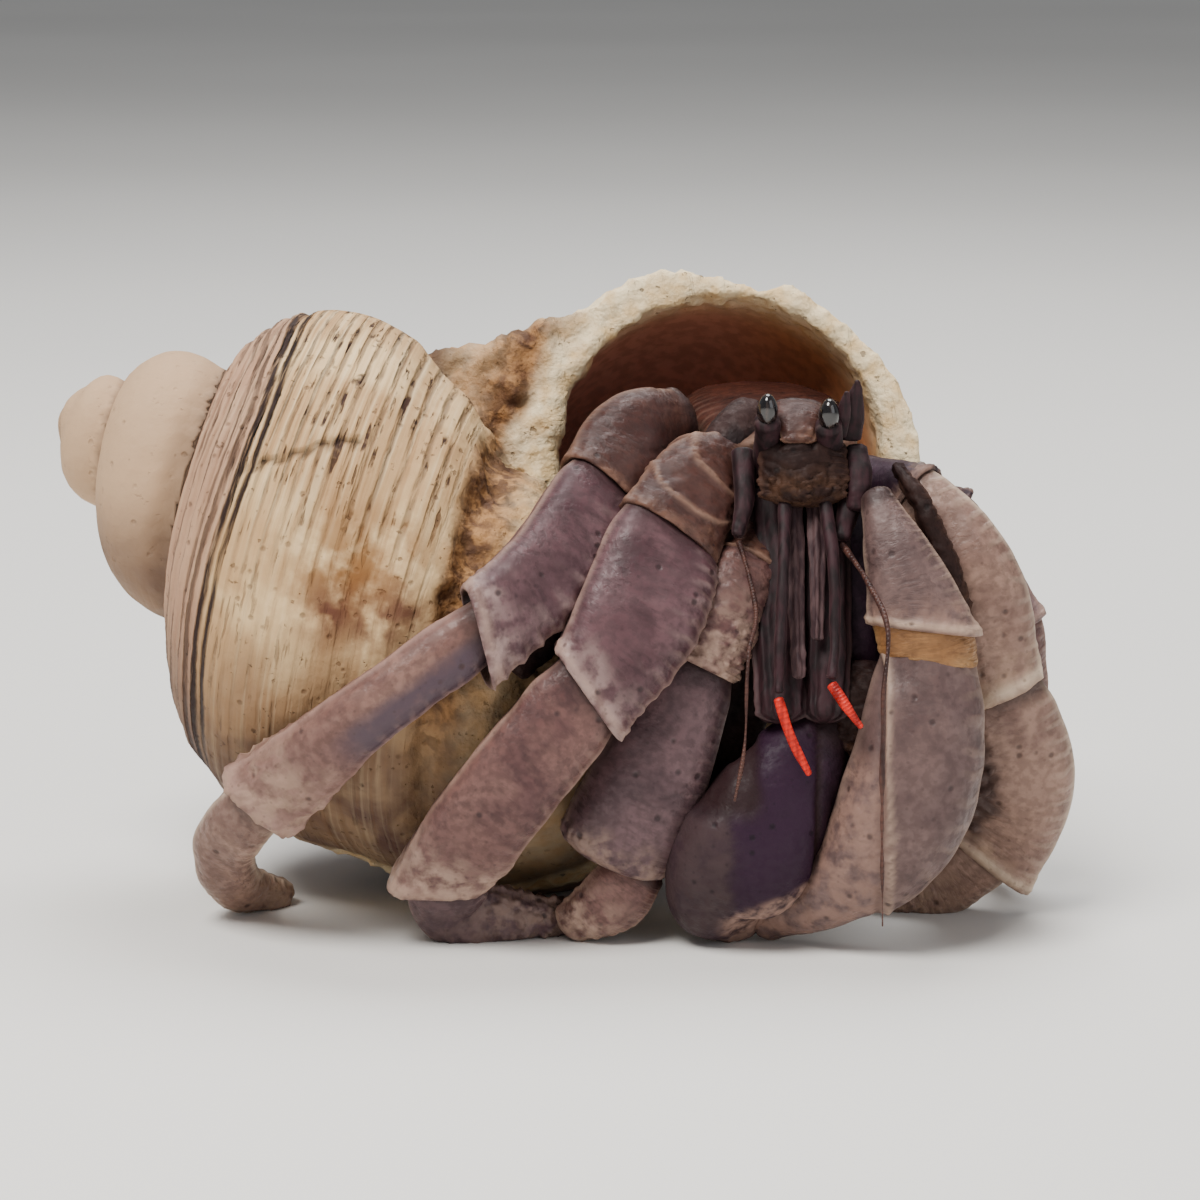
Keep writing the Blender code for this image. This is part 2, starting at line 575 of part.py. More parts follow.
def main():
    """Build the shell and the crab, each piece carved clear of the ones before it."""
    for item in list(bpy.data.objects):
        bpy.data.objects.remove(item)
    collection = bpy.data.collections.new("hermit_crab")
    bpy.context.scene.collection.children.link(collection)
    finished = {"shell": shell_solid()}
    for name, solid in crab_pieces().items():
        finished[name] = clear_of(solid, finished.values())
    for name, solid in finished.items():
        flatten_foot(solid)
        make_node(name, solid, collection)


if __name__ == "__main__":
    main()
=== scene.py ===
"""Looks of a still, life-size hermit crab in a worn turban shell.

Sizes of the forms are millimetres from the crab's own origin; place() brings a point to the row
frame in metres. Every finished piece has its object at the origin and its place in its mesh.
"""

import logging
import math
from dataclasses import dataclass, field, replace
from enum import Enum
from typing import Iterable, Sequence

import bmesh
import bpy
from mathutils import Matrix, Vector, noise

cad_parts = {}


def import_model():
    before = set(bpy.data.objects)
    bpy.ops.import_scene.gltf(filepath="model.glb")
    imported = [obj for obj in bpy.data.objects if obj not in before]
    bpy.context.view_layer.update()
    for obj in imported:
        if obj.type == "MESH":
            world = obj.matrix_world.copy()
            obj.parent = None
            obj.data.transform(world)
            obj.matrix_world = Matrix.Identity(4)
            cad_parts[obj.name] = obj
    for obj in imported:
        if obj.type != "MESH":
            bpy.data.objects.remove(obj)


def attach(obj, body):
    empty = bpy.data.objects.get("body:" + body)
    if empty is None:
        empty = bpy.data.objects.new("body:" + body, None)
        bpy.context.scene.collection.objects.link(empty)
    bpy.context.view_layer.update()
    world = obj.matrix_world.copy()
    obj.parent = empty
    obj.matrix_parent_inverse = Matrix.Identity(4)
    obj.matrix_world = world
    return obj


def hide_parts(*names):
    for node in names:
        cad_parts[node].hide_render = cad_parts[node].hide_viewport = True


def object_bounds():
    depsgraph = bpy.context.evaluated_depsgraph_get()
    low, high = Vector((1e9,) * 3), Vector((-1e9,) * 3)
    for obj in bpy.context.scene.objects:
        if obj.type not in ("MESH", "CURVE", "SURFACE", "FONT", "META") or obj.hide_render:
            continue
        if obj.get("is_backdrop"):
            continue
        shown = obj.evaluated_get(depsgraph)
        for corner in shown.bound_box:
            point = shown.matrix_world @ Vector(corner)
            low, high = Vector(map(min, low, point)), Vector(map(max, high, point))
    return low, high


LOG = logging.getLogger("hermit_crab")

MM = 0.001
FULL_TURN = 2.0 * math.pi
CRAB_ORIGIN = Vector((0.579, -15.043, 0.0))      # the crab's own origin in the row frame, millimetres
FRONT = Vector((0.0, -1.0, 0.0))
DOME = (0.3, 0.6, 0.9, 1.2, 1.45)                # angles of the rings that round off an end
TANGENT = 0.02                                   # share of the length on which a direction is read

Triple = tuple[float, float, float]
Pair = tuple[float, float]
Colour = tuple[int, int, int]
Marks = dict[str, float]
Ring = list[Vector]


def place(point: Sequence[float]) -> Vector:
    """Bring a point of the crab, in millimetres, to the row frame in metres."""
    return (Vector(point) + CRAB_ORIGIN) * MM


def linear(red: int, green: int, blue: int) -> tuple[float, float, float, float]:
    """Turn a display colour (0 to 255) into a scene colour."""
    shares = (value / 255.0 for value in (red, green, blue))
    levels = [s / 12.92 if s <= 0.04045 else ((s + 0.055) / 1.055) ** 2.4 for s in shares]
    return (levels[0], levels[1], levels[2], 1.0)


def rise(low: float, high: float, value: float) -> float:
    """Rise smoothly from 0 at low to 1 at high."""
    share = min(max((value - low) / (high - low), 0.0), 1.0)
    return share * share * (3.0 - 2.0 * share)


def fall(low: float, high: float, value: float) -> float:
    """Fall smoothly from 1 at low to 0 at high."""
    return 1.0 - rise(low, high, value)


def hump(centre: float, width: float, value: float) -> float:
    """A bell of height 1 round a centre."""
    return math.exp(-((value - centre) / width) ** 2)


def rounded(share: float, power: float) -> float:
    """A power that keeps the sign."""
    return math.copysign(abs(share) ** power, share)


def curve(points: Sequence[Vector], share: float) -> Vector:
    """Point at a share of the way along a Catmull-Rom curve.

    Args:
        points: the points that the curve passes through, evenly spaced in share.
        share: 0 at the first point, 1 at the last.

    Returns:
        The point on the curve.
    """
    last = len(points) - 1
    place_on = min(max(share, 0.0), 1.0) * last
    span = min(int(place_on), last - 1)
    t = place_on - span
    b = points[span]
    c = points[span + 1]
    a = points[span - 1] if span else b * 2.0 - c
    d = points[span + 2] if span + 2 <= last else c * 2.0 - b
    return 0.5 * ((2.0 * b) + (c - a) * t + (2.0 * a - 5.0 * b + 4.0 * c - d) * t ** 2
                  + (3.0 * b - a - 3.0 * c + d) * t ** 3)


def lumps(point: Vector, size: float, seed: float = 0.0) -> float:
    """Soft uneven relief from -1 to 1 whose lumps are about a size across, in millimetres."""
    return noise.noise(point / size + Vector((seed, seed * 1.7, -seed)))


def rough_lumps(point: Vector, size: float, octaves: int = 4) -> float:
    """Broken, rocky relief from about -1 to 1."""
    return noise.fractal(point / size, 0.7, 2.1, octaves)


def grains(point: Vector, size: float) -> float:
    """Rounded granules: 1 on the top of each, 0 between them."""
    near = noise.voronoi(point / size)[0][0]
    return max(0.0, 1.0 - (near / 0.52) ** 2)


# ---------------------------------------------------------------- node graphs
@dataclass(frozen=True)
class Value:
    """One output of a node graph, on which arithmetic adds nodes."""

    graph: "Graph"
    socket: bpy.types.NodeSocket

    def __add__(self, other: object) -> "Value":
        """The sum with a number or another output."""
        return self.graph.math("ADD", self, other)

    def __mul__(self, other: object) -> "Value":
        """The product with a number or another output."""
        return self.graph.math("MULTIPLY", self, other)

    def __sub__(self, other: object) -> "Value":
        """The difference from a number or another output."""
        return self.graph.math("SUBTRACT", self, other)

    def __rsub__(self, other: float) -> "Value":
        """A number less this output."""
        return self.graph.math("SUBTRACT", other, self)


class Graph:
    """A node tree under construction, with short calls for the nodes that the finishes use."""

    def __init__(self, tree: bpy.types.NodeTree) -> None:
        """Start on a tree that is already there."""
        self.tree = tree

    def feed(self, value: object, socket: bpy.types.NodeSocket) -> None:
        """Set a socket to a value or a display colour, or link it to another node's output."""
        if isinstance(value, Value):
            self.tree.links.new(value.socket, socket)
        elif socket.type == "RGBA":
            socket.default_value = linear(*value)
        else:
            socket.default_value = value

    def add(self, kind: str, inputs: dict, **settings: object) -> bpy.types.Node:
        """Add a node.

        Args:
            kind: the node's type.
            inputs: what each socket gets, by its name or its number.
            settings: the node's plain properties.

        Returns:
            The node.
        """
        node = self.tree.nodes.new(kind)
        for name, value in settings.items():
            setattr(node, name, value)
        for name, value in inputs.items():
            self.feed(value, node.inputs[name])
        return node

    def take(self, output: int | str, kind: str, inputs: dict, **settings: object) -> Value:
        """Add a node and take one of its outputs."""
        return Value(self, self.add(kind, inputs, **settings).outputs[output])

    def math(self, operation: str, first: object, second: object = 0.0, clamp: bool = False) -> Value:
        """Combine two values with one operation."""
        return self.take(0, "ShaderNodeMath", {0: first, 1: second}, operation=operation, use_clamp=clamp)

    def mix(self, share: object, first: object, second: object) -> Value:
        """Blend two colours by a share."""
        return self.take(2, "ShaderNodeMix", {"Factor": share, 6: first, 7: second}, data_type="RGBA",
                         clamp_factor=True)

    def coats(self, base: Value, *coats: tuple[object, object]) -> Value:
        """Lay colours over a base, in order, each by its own share."""
        for share, colour in coats:
            base = self.mix(share, base, colour)
        return base

    def span(self, value: object, low: float, high: float, bottom: float = 0.0, top: float = 1.0) -> Value:
        """Map low..high smoothly to bottom..top."""
        return self.take("Result", "ShaderNodeMapRange", {"Value": value, "From Min": low, "From Max": high,
                         "To Min": bottom, "To Max": top}, interpolation_type="SMOOTHSTEP")

    def here(self) -> Value:
        """The surface's own place, in metres."""
        return self.take("Object", "ShaderNodeTexCoord", {})

    def noise(self, size: object, detail: float = 4.0, vector: Value | None = None,
              warp: float = 0.0) -> Value:
        """Cloudy noise whose features are about one over size metres across."""
        return self.take("Fac", "ShaderNodeTexNoise", {"Vector": vector or self.here(), "Scale": size,
                         "Detail": detail, "Distortion": warp}, noise_dimensions="3D")

    def cells(self, size: object) -> tuple[Value, Value]:
        """Distance and chance colour of a cell texture."""
        node = self.add("ShaderNodeTexVoronoi", {"Vector": self.here(), "Scale": size}, feature="F1")
        return Value(self, node.outputs["Distance"]), Value(self, node.outputs["Color"])

    def mark(self, name: str) -> Value:
        """A value painted on the piece's points."""
        return self.take("Fac", "ShaderNodeAttribute", {}, attribute_name=name, attribute_type="GEOMETRY")

    def stretched(self, scale: Triple) -> Value:
        """The surface's own place, scaled along each axis."""
        return self.take("Vector", "ShaderNodeMapping", {"Vector": self.here(), "Scale": scale})

    def join(self, x: object, y: object, z: object = 0.0) -> Value:
        """Make a vector of three values."""
        return self.take(0, "ShaderNodeCombineXYZ", {0: x, 1: y, 2: z})

    def bumps(self, *layers: tuple[Value, float, float]) -> Value:
        """Turn heights into one normal, each laid on the one before.

        Args:
            layers: for each, its height, how much a height of 1 is in metres, and its strength.

        Returns:
            The normal.
        """
        under: dict[str, Value] = {}
        for height, depth, strength in layers:
            given = {"Height": height, "Distance": depth, "Strength": strength, **under}
            under = {"Normal": self.take("Normal", "ShaderNodeBump", given)}
        return under["Normal"]

    def effect(self, effect: "Effect", **inputs: object) -> dict[str, Value]:
        """Place a shared effect with this material's own values, and give its outputs by name."""
        given = {name.title(): value for name, value in inputs.items()}
        node = self.add("ShaderNodeGroup", {}, node_tree=effect.tree())
        for name, value in given.items():
            self.feed(value, node.inputs[name])
        return {socket.name: Value(self, socket) for socket in node.outputs}


class Effect(Enum):
    """Surface effects that several finishes share."""

    MOTTLE = ("mottle", "Size")
    PITS = ("pits", "Size", "Reach", "Share")
    GRANULES = ("granules", "Size")

    def tree(self) -> bpy.types.NodeTree:
        """The effect's node group, built the first time it is asked for."""
        kind, *inputs = self.value
        found = bpy.data.node_groups.get("effect_" + kind)
        if found:
            return found
        tree = bpy.data.node_groups.new("effect_" + kind, "ShaderNodeTree")
        for name in inputs:
            tree.interface.new_socket(name, in_out="INPUT", socket_type="NodeSocketFloat")
        graph = Graph(tree)
        entry = tree.nodes.new("NodeGroupInput")
        given = {name.lower(): Value(graph, entry.outputs[name]) for name in inputs}
        made = {Effect.MOTTLE: mottle, Effect.PITS: pits, Effect.GRANULES: granules}[self](graph, **given)
        for name in made:
            tree.interface.new_socket(name, in_out="OUTPUT", socket_type="NodeSocketFloat")
        result = tree.nodes.new("NodeGroupOutput")
        for name, value in made.items():
            graph.feed(value, result.inputs[name])
        return tree


def mottle(graph: Graph, size: Value) -> dict[str, Value]:
    """Broad patches and fine specks of uneven colour."""
    broad = graph.noise(size, 3.0, warp=0.6)
    fine = graph.noise(size * 7.0, 5.0)
    return {"Broad": graph.span(broad, 0.36, 0.64), "Fine": graph.span(fine, 0.38, 0.62)}


def pits(graph: Graph, size: Value, reach: Value, share: Value) -> dict[str, Value]:
    """Scattered round pits, in some cells of a cell texture only."""
    distance, colour = graph.cells(size)
    chance = graph.take("Red", "ShaderNodeSeparateColor", {"Color": colour})
    close = graph.math("SUBTRACT", 1.0, graph.math("DIVIDE", distance, reach), clamp=True)
    return {"Mask": graph.span(close, 0.0, 0.7) * graph.math("LESS_THAN", chance, share)}


def granules(graph: Graph, size: Value) -> dict[str, Value]:
    """Close-set rounded grains."""
    distance, _ = graph.cells(size)
    return {"Height": graph.math("SUBTRACT", 1.0, distance * distance * 2.6, clamp=True)}


class MaterialGraph(Graph):
    """The node tree of a new material with one Principled shader."""

    def __init__(self, name: str) -> None:
        """Start the material."""
        self.material = bpy.data.materials.new(name)
        self.material.use_nodes = True
        super().__init__(self.material.node_tree)

    def finish(self, inputs: dict[str, object]) -> bpy.types.Material:
        """Feed the shader's inputs, by name, and give the material."""
        for name, value in inputs.items():
            self.feed(value, self.tree.nodes["Principled BSDF"].inputs[name])
        return self.material


@dataclass(frozen=True)
class PlateFinish:
    """Hard, pitted plate of the crab's armour, with painted shade near its joints, in creases and in dents,
    and painted glints on its scale crests.
    """

    name: str
    dark: Colour
    body: Colour
    light: Colour
    rim: Colour
    worn: Colour
    stripe: Colour = (84, 74, 100)
    # colour of the painted shade near joints, in creases and in dents
    hollow: Colour = (38, 22, 22)
    gloss: float = 0.42
    pit_share: float = 0.35
    grain: float = 0.5
    ribs: float = 0.25
    wrinkles: float = 0.32
    shine: float = 0.32

    def make(self) -> bpy.types.Material:
        """Build the material.

        Returns:
            The finished material.
        """
        graph = MaterialGraph(self.name)
        cloudy = graph.effect(Effect.MOTTLE, size=190.0)
        wide_pits = graph.effect(Effect.PITS, size=620.0, reach=0.24, share=self.pit_share)["Mask"]
        fine_pits = graph.effect(Effect.PITS, size=1500.0, reach=0.3, share=0.4)["Mask"]
        grain = graph.effect(Effect.GRANULES, size=1300.0)["Height"]
        along, side, worn = (graph.mark(name) for name in ("along", "side", "worn"))
        wrinkle = (graph.span(graph.noise(1.0, 5.0, graph.join(along * 34.0, side * 5.0)), 0.44, 0.62)
                   * graph.span(graph.noise(260.0, 3.0), 0.40, 0.60, 0.25, 1.0))
        arcs = graph.math("SINE", along * 95.0 + graph.noise(260.0, 2.0) * 9.0)
        arcs = graph.span(arcs, 0.0, 1.0) * graph.span(side, 0.35, 0.95)
        return graph.finish({
            "Base Color": graph.coats(
                graph.mix(cloudy["Broad"], self.body, self.light),
                (graph.span(along, 0.45, 1.0) * 0.45, self.light),
                (cloudy["Fine"] * 0.30, self.dark),
                (wrinkle * self.wrinkles, self.dark),
                # worn colour: real wear, and a painted highlight (glints) where it comes from the scale
                # crests
                (worn * graph.span(graph.noise(700.0, 5.0), 0.35, 0.62), self.worn),
                (graph.mark("stripe") * graph.span(graph.noise(600.0), 0.2, 0.5, 0.7, 1.0), self.stripe),
                (graph.mark("rim") * graph.span(graph.noise(500.0, 3.0), 0.25, 0.6, 0.45, 1.0), self.rim),
                (arcs * (0.7 * self.ribs), self.rim),
                (wide_pits * 0.75, self.dark),
                (fine_pits * 0.3, self.dark),
                # painted shade near joints, in creases and in dents
                (graph.mark("hollow"), self.hollow)),
            "Roughness": cloudy["Fine"] * 0.18 + self.gloss,
            "Normal": graph.bumps(
                (grain * (worn * 1.2 + 0.25), 0.00008, self.grain),
                (1.0 - wide_pits, 0.00010, 0.7),
                (arcs, 0.00010, self.ribs * 2.0),
                (wrinkle, -0.00012, self.wrinkles),
                (graph.noise(2600.0, 6.0), 0.00005, 0.6)),
            "Specular IOR Level": self.shine,
        })


@dataclass(frozen=True)
class ShellFinish:
    """Worn, chalky turban shell: fine dark-lined cords, stains, a cream lip and a brown throat; painted shade
    darkens it low down and along the sutures, and its throat is painted paler than its own colour, as painted
    light.

    grooves gives, for each dark line beside the seam, its place across the whorl, its width and its depth.
    """

    name: str = "worn_shell"
    cream: Colour = (216, 183, 136)
    beige: Colour = (184, 147, 104)
    pink: Colour = (186, 154, 122)
    band: Colour = (168, 130, 108)
    # grey: colour of the painted shade, darker towards the bottom of the shell and under the second whorl
    grey: Colour = (86, 62, 54)
    brown: Colour = (56, 32, 20)
    ochre: Colour = (132, 88, 44)
    tan: Colour = (88, 54, 30)
    tan_light: Colour = (158, 114, 70)
    # throat: paler than the inside's own colour, painted light standing in for light that reaches into the
    # mouth
    throat: Colour = (206, 142, 124)
    throat_rim: Colour = (196, 122, 70)
    throat_dirt: Colour = (70, 40, 30)
    lip: Colour = (238, 218, 178)
    lip_dark: Colour = (220, 188, 138)
    line: Colour = (40, 22, 16)
    stain: Colour = (84, 44, 34)
    crevice: Colour = (62, 36, 22)
    # colour of the painted shade along the sutures
    shaded_suture: Colour = (52, 32, 26)
    grooves: tuple[Triple, ...] = ((-0.31, 0.016, 0.5), (-0.22, 0.014, 0.55), (-0.145, 0.016, 0.6),
                                   (-0.085, 0.016, 0.75), (-0.03, 0.020, 1.0), (0.025, 0.026, 1.0))
    seam_offset: float = 0.015
    cord_rate: float = 122.0

    def make(self) -> bpy.types.Material:
        """Build the material.

        Returns:
            The finished material.
        """
        graph = MaterialGraph(self.name)
        span, cloud, mark = graph.span, graph.noise, graph.mark
        cloudy = graph.effect(Effect.MOTTLE, size=110.0)
        pit = graph.effect(Effect.PITS, size=900.0, reach=0.30, share=0.16)["Mask"]
        names = ("turn", "corded", "rough", "lip", "inside")
        turn, corded, rough, lip, inside = (mark(name) for name in names)
        young = span(turn, 2.7, 4.0)
        # cords that follow the whorl, broken into dashes
        row = mark("across") + cloud(90.0, 3.0) * 0.022
        cords = graph.math("SINE", row * self.cord_rate)
        streak = cloud(1.0, 4.0, graph.join(turn * 3.0, row * 50.0))
        dash = cloud(1.0, 5.0, graph.join(turn * 16.0, row * 56.0, 3.7))
        groove = span(cords, 0.1, 1.0) * span(dash, 0.36, 0.58, 0.2, 1.0) * (young * corded)
        fleck = span(dash, 0.58, 0.66) * span(cloud(420.0), 0.45, 0.6) * (young * (corded + 0.25))
        lined = young * (corded + 0.12)
        seam = mark("seam") + cloud(170.0) * 0.030
        lines = mark("groove")
        for away, width, depth in self.grooves:
            gap = graph.math("ABSOLUTE", seam - (away + self.seam_offset))
            line = span(gap, width * 0.3, width, 1.0, 0.0) * depth
            lines = graph.math("MAXIMUM", lines, line * mark("seamed"))
        deep = graph.math("MULTIPLY", lines, span(dash, 0.30, 0.52, 0.45, 1.0), clamp=True)
        # dirt, stains, pits and the broken faces
        specks = span(cloud(1300.0, 3.0), 0.66, 0.72) * span(young, 0.0, 1.0, 0.3, 1.0)
        dirt = span(cloud(420.0, 6.0), 0.30, 0.60)
        cracks = span(cloud(300.0, 7.0, warp=1.4), 0.47, 0.58)
        tan = graph.mix(span(cloud(760.0, 5.0), 0.35, 0.62), self.tan, self.tan_light)
        chalk = graph.mix(span(cloud(500.0, 6.0), 0.34, 0.62), self.lip_dark, self.lip)
        # the throat colours carry painted light, paler than the inside's own colour
        throat = graph.coats(graph.mix(mark("amber"), self.throat, self.throat_rim),
                             (cloudy["Fine"] * 0.25, self.throat_dirt))
        base = graph.coats(
            graph.mix(cloudy["Broad"], self.beige, self.cream),
            (1.0 - young, self.pink),
            (mark("band") * 0.8, self.band),
            # painted shade: darker towards the bottom of the shell and under the second whorl
            (mark("grey") * span(cloud(150.0, warp=0.8), 0.3, 0.65, 0.7, 1.0), self.grey),
            (span(streak, 0.5, 0.66) * (lined * 0.30), self.lip),
            (span(streak, 0.34, 0.48, 1.0, 0.0) * (lined * 0.34), self.ochre),
            (groove * 0.62, self.brown),
            (graph.math("MULTIPLY", fleck, 0.8, clamp=True), self.brown),
            (deep, self.line),
            (pit * span(young, 0.0, 1.0, 0.12, 0.45), self.brown),
            (specks * 0.5, self.brown),
            (mark("ochre") * dirt, self.ochre),
            (mark("stain") * dirt, self.stain),
            (rough * 0.92, tan),
            (rough * (cracks * 0.75), self.crevice),
            (lip * span(cloud(220.0, 5.0), 0.28, 0.5, 0.75, 1.0), chalk),
            (lip * (specks * 0.6), self.brown),
            # painted shade along the sutures
            (mark("shaded_suture") * 0.85, self.shaded_suture),
            (span(inside, 0.02, 0.12), throat))
        outside = span(inside, 0.0, 0.1, 1.0, 0.12)
        return graph.finish({
            "Base Color": base,
            "Roughness": span(inside, 0.0, 0.3, 0.72, 0.38) + cloudy["Fine"] * 0.1,
            "Normal": graph.bumps(
                ((groove + fleck * 0.8) * outside, -0.00022, 0.9),
                ((pit + specks) * outside, -0.00014, 0.8),
                (deep, -0.0004, 0.9),
                (cloud(900.0, 8.0) * ((rough + lip + 0.30) * outside), 0.0006, 0.8)),
            "Specular IOR Level": 0.3,
        })


@dataclass(frozen=True)
class SoftFinish:
    """Moist, leathery skin of the joints and the hind body."""

    name: str = "joint_skin"
    dark: Colour = (26, 13, 14)
    light: Colour = (52, 31, 28)
    gloss: float = 0.6

    def make(self) -> bpy.types.Material:
        """Build the material.

        Returns:
            The finished material.
        """
        graph = MaterialGraph(self.name)
        cloudy = graph.effect(Effect.MOTTLE, size=240.0)
        base = graph.mix(cloudy["Broad"], self.dark, self.light)
        return graph.finish({
            "Base Color": graph.mix(cloudy["Fine"] * 0.3, base, self.dark),
            "Roughness": cloudy["Fine"] * 0.2 + self.gloss,
            "Normal": graph.bumps((graph.noise(900.0, 6.0, warp=1.0), 0.0003, 0.7)),
            "Specular IOR Level": 0.25,
        })


@dataclass(frozen=True)
class EyeFinish:
    """Black, glossy cornea with faint facets and pale streaks."""

    name: str = "cornea"
    black: Colour = (14, 11, 13)
    pale: Colour = (70, 56, 50)

    def make(self) -> bpy.types.Material:
        """Build the material.

        Returns:
            The finished material.
        """
        graph = MaterialGraph(self.name)
        facets, _ = graph.cells(9000.0)
        streaks = graph.span(graph.noise(1.0, 4.0, graph.stretched((2600.0, 2600.0, 500.0))), 0.5, 0.7)
        return graph.finish({
            "Base Color": graph.mix(streaks * 0.5, self.black, self.pale),
            "Roughness": streaks * 0.15 + 0.10,
            "Normal": graph.bumps((facets, 0.00001, 0.3)),
            "Coat Weight": 0.6,
            "Coat Roughness": 0.05,
        })


@dataclass(frozen=True)
class FeelerFinish:
    """Ringed or streaked feeler."""

    name: str
    dark: Colour
    light: Colour
    rings: float
    gloss: float = 0.35
    rim: Colour = (112, 88, 86)

    def make(self) -> bpy.types.Material:
        """Build the material.

        Returns:
            The finished material.
        """
        graph = MaterialGraph(self.name)
        ring = graph.math("SINE", graph.mark("along") * (self.rings * FULL_TURN))
        streak = graph.noise(1.0, 4.0, graph.stretched((1500.0, 1500.0, 160.0)))
        return graph.finish({
            "Base Color": graph.coats(
                graph.mix(graph.span(streak, 0.35, 0.65), self.dark, self.light),
                (graph.span(ring, 0.2, 1.0) * 0.4, self.dark),
                (graph.mark("rim") * 0.4, self.rim)),
            "Roughness": streak * 0.15 + self.gloss,
            "Normal": graph.bumps((ring, 0.00004, 0.6), (streak, 0.00014, 0.7)),
            "Specular IOR Level": 0.25,
        })


# ---------------------------------------------------------------- growing meshes
class Skin:
    """A mesh grown ring by ring, or line by line, by extruding its last edges."""

    MARKS = ("along", "side", "rim", "worn", "hollow", "stripe")

    def __init__(self, marks: Sequence[str] = MARKS, bm: bmesh.types.BMesh | None = None) -> None:
        """Start an empty mesh, or go on with one, with its painted values."""
        self.bm = bmesh.new() if bm is None else bm
        self.layers = {name: self.bm.verts.layers.float.new(name) for name in marks}
        self.last: list[bmesh.types.BMVert] = []
        self.closed = True

    def begin(self, points: Sequence[Vector], closed: bool = True) -> None:
        """Lay the first ring (closed) or line (open) of points."""
        self.closed = closed
        if closed:
            made = bmesh.ops.create_circle(self.bm, cap_ends=False, segments=len(points), radius=1.0)
            self.last = made["verts"]
        else:
            self.last = [self.bm.verts.new(point) for point in points]
            for first, second in zip(self.last, self.last[1:]):
                self.bm.edges.new((first, second))
        self.shape(points)

    def shape(self, points: Sequence[Vector]) -> None:
        """Move the last ring to its place."""
        for vertex, point in zip(self.last, points):
            vertex.co = point

    def grow(self, points: Sequence[Vector]) -> None:
        """Extrude the last ring and move the new one to the points."""
        after = self.last[1:] + (self.last[:1] if self.closed else [])
        edges = [self.bm.edges.get((first, second)) for first, second in zip(self.last, after)]
        made = bmesh.ops.extrude_edge_only(self.bm, edges=edges)
        fresh = {item for item in made["geom"] if isinstance(item, bmesh.types.BMVert)}
        self.last = [next(edge.other_vert(vertex) for edge in vertex.link_edges
                          if edge.other_vert(vertex) in fresh) for vertex in self.last]
        self.shape(points)

    def paint(self, marks: Sequence[Marks]) -> None:
        """Write the painted values of the last ring."""
        for vertex, values in zip(self.last, marks):
            for name, value in values.items():
                vertex[self.layers[name]] = value

    def pinch(self) -> None:
        """Close the last ring to one point."""
        middle = sum((vertex.co for vertex in self.last), Vector()) / len(self.last)
        bmesh.ops.pointmerge(self.bm, verts=self.last, merge_co=middle)

    @classmethod
    def closed_body(cls, rings: Iterable[tuple[Ring, Sequence[Marks]]],
                    marks: Sequence[str] = MARKS) -> "Skin":
        """Grow rings into a body whose two ends are pinched to points.

        Args:
            rings: the points of each ring and their painted values.
            marks: the names of the painted values.

        Returns:
            The finished skin.
        """
        skin = cls(marks)
        first: list[bmesh.types.BMVert] = []
        for points, values in rings:
            if first:
                skin.grow(points)
            else:
                skin.begin(points)
                first = list(skin.last)
            skin.paint(values)
        skin.pinch()
        skin.last = first
        skin.pinch()
        return skin


def oval(centre: Vector, across: Vector, out: Vector, width: float, depth: float, sides: int) -> Ring:
    """Points round an oval."""
    angles = [FULL_TURN * side / sides for side in range(sides)]
    return [centre + across * (math.cos(angle) * width) + out * (math.sin(angle) * depth) for angle in angles]


def plain_body(rings: Iterable[Ring]) -> bmesh.types.BMesh:
    """Grow unpainted rings into a closed body."""
    bm = Skin.closed_body(((ring, ()) for ring in rings), ()).bm
    bmesh.ops.recalc_face_normals(bm, faces=bm.faces[:])
    return bm


def linked(name: str, bm: bmesh.types.BMesh) -> bpy.types.Object:
    """Turn a mesh under construction, freed here, into an object of the scene."""
    mesh = bpy.data.meshes.new(name)
    bm.to_mesh(mesh)
    bm.free()
    item = bpy.data.objects.new(name, mesh)
    bpy.context.scene.collection.objects.link(item)
    return item


def to_piece(bm: bmesh.types.BMesh, name: str, material: bpy.types.Material) -> bpy.types.Object:
    """Bring a mesh in the crab's millimetres to a named, shaded piece in the row frame.

    Args:
        bm: the mesh, freed here.
        name: the piece's name.
        material: its finish.

    Returns:
        The piece, at the origin.
    """
    bmesh.ops.translate(bm, vec=CRAB_ORIGIN, verts=bm.verts[:])
    bmesh.ops.scale(bm, vec=Vector((MM, MM, MM)), verts=bm.verts[:])
    bmesh.ops.recalc_face_normals(bm, faces=bm.faces[:])
    piece = linked(name, bm)
    piece.data.shade_smooth()
    piece.data.materials.append(material)
    return piece


def seat(piece: bpy.types.Object, nodes: Sequence[str], slot: str) -> bpy.types.Object:
    """Tie a piece to the still body and to the nodes that it stands for.

    Args:
        piece: the finished piece.
        nodes: the solids that it replaces.
        slot: not used.

    Returns:
        The same piece.
    """
    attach(piece, "root")
    if nodes:
        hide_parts(*nodes)
    LOG.info("%s: %d faces, stands for %s", piece.name, len(piece.data.polygons),
             ", ".join(nodes) or "nothing")
    return piece


def finished(item: bpy.types.Object, *spent: bpy.types.Object) -> bmesh.types.BMesh:
    """The mesh of an object with its modifiers applied; the objects themselves are removed."""
    graph = bpy.context.evaluated_depsgraph_get()
    result = bmesh.new()
    result.from_mesh(bpy.data.meshes.new_from_object(item.evaluated_get(graph)))
    for used in (item, *spent):
        bpy.data.objects.remove(used)
    return result


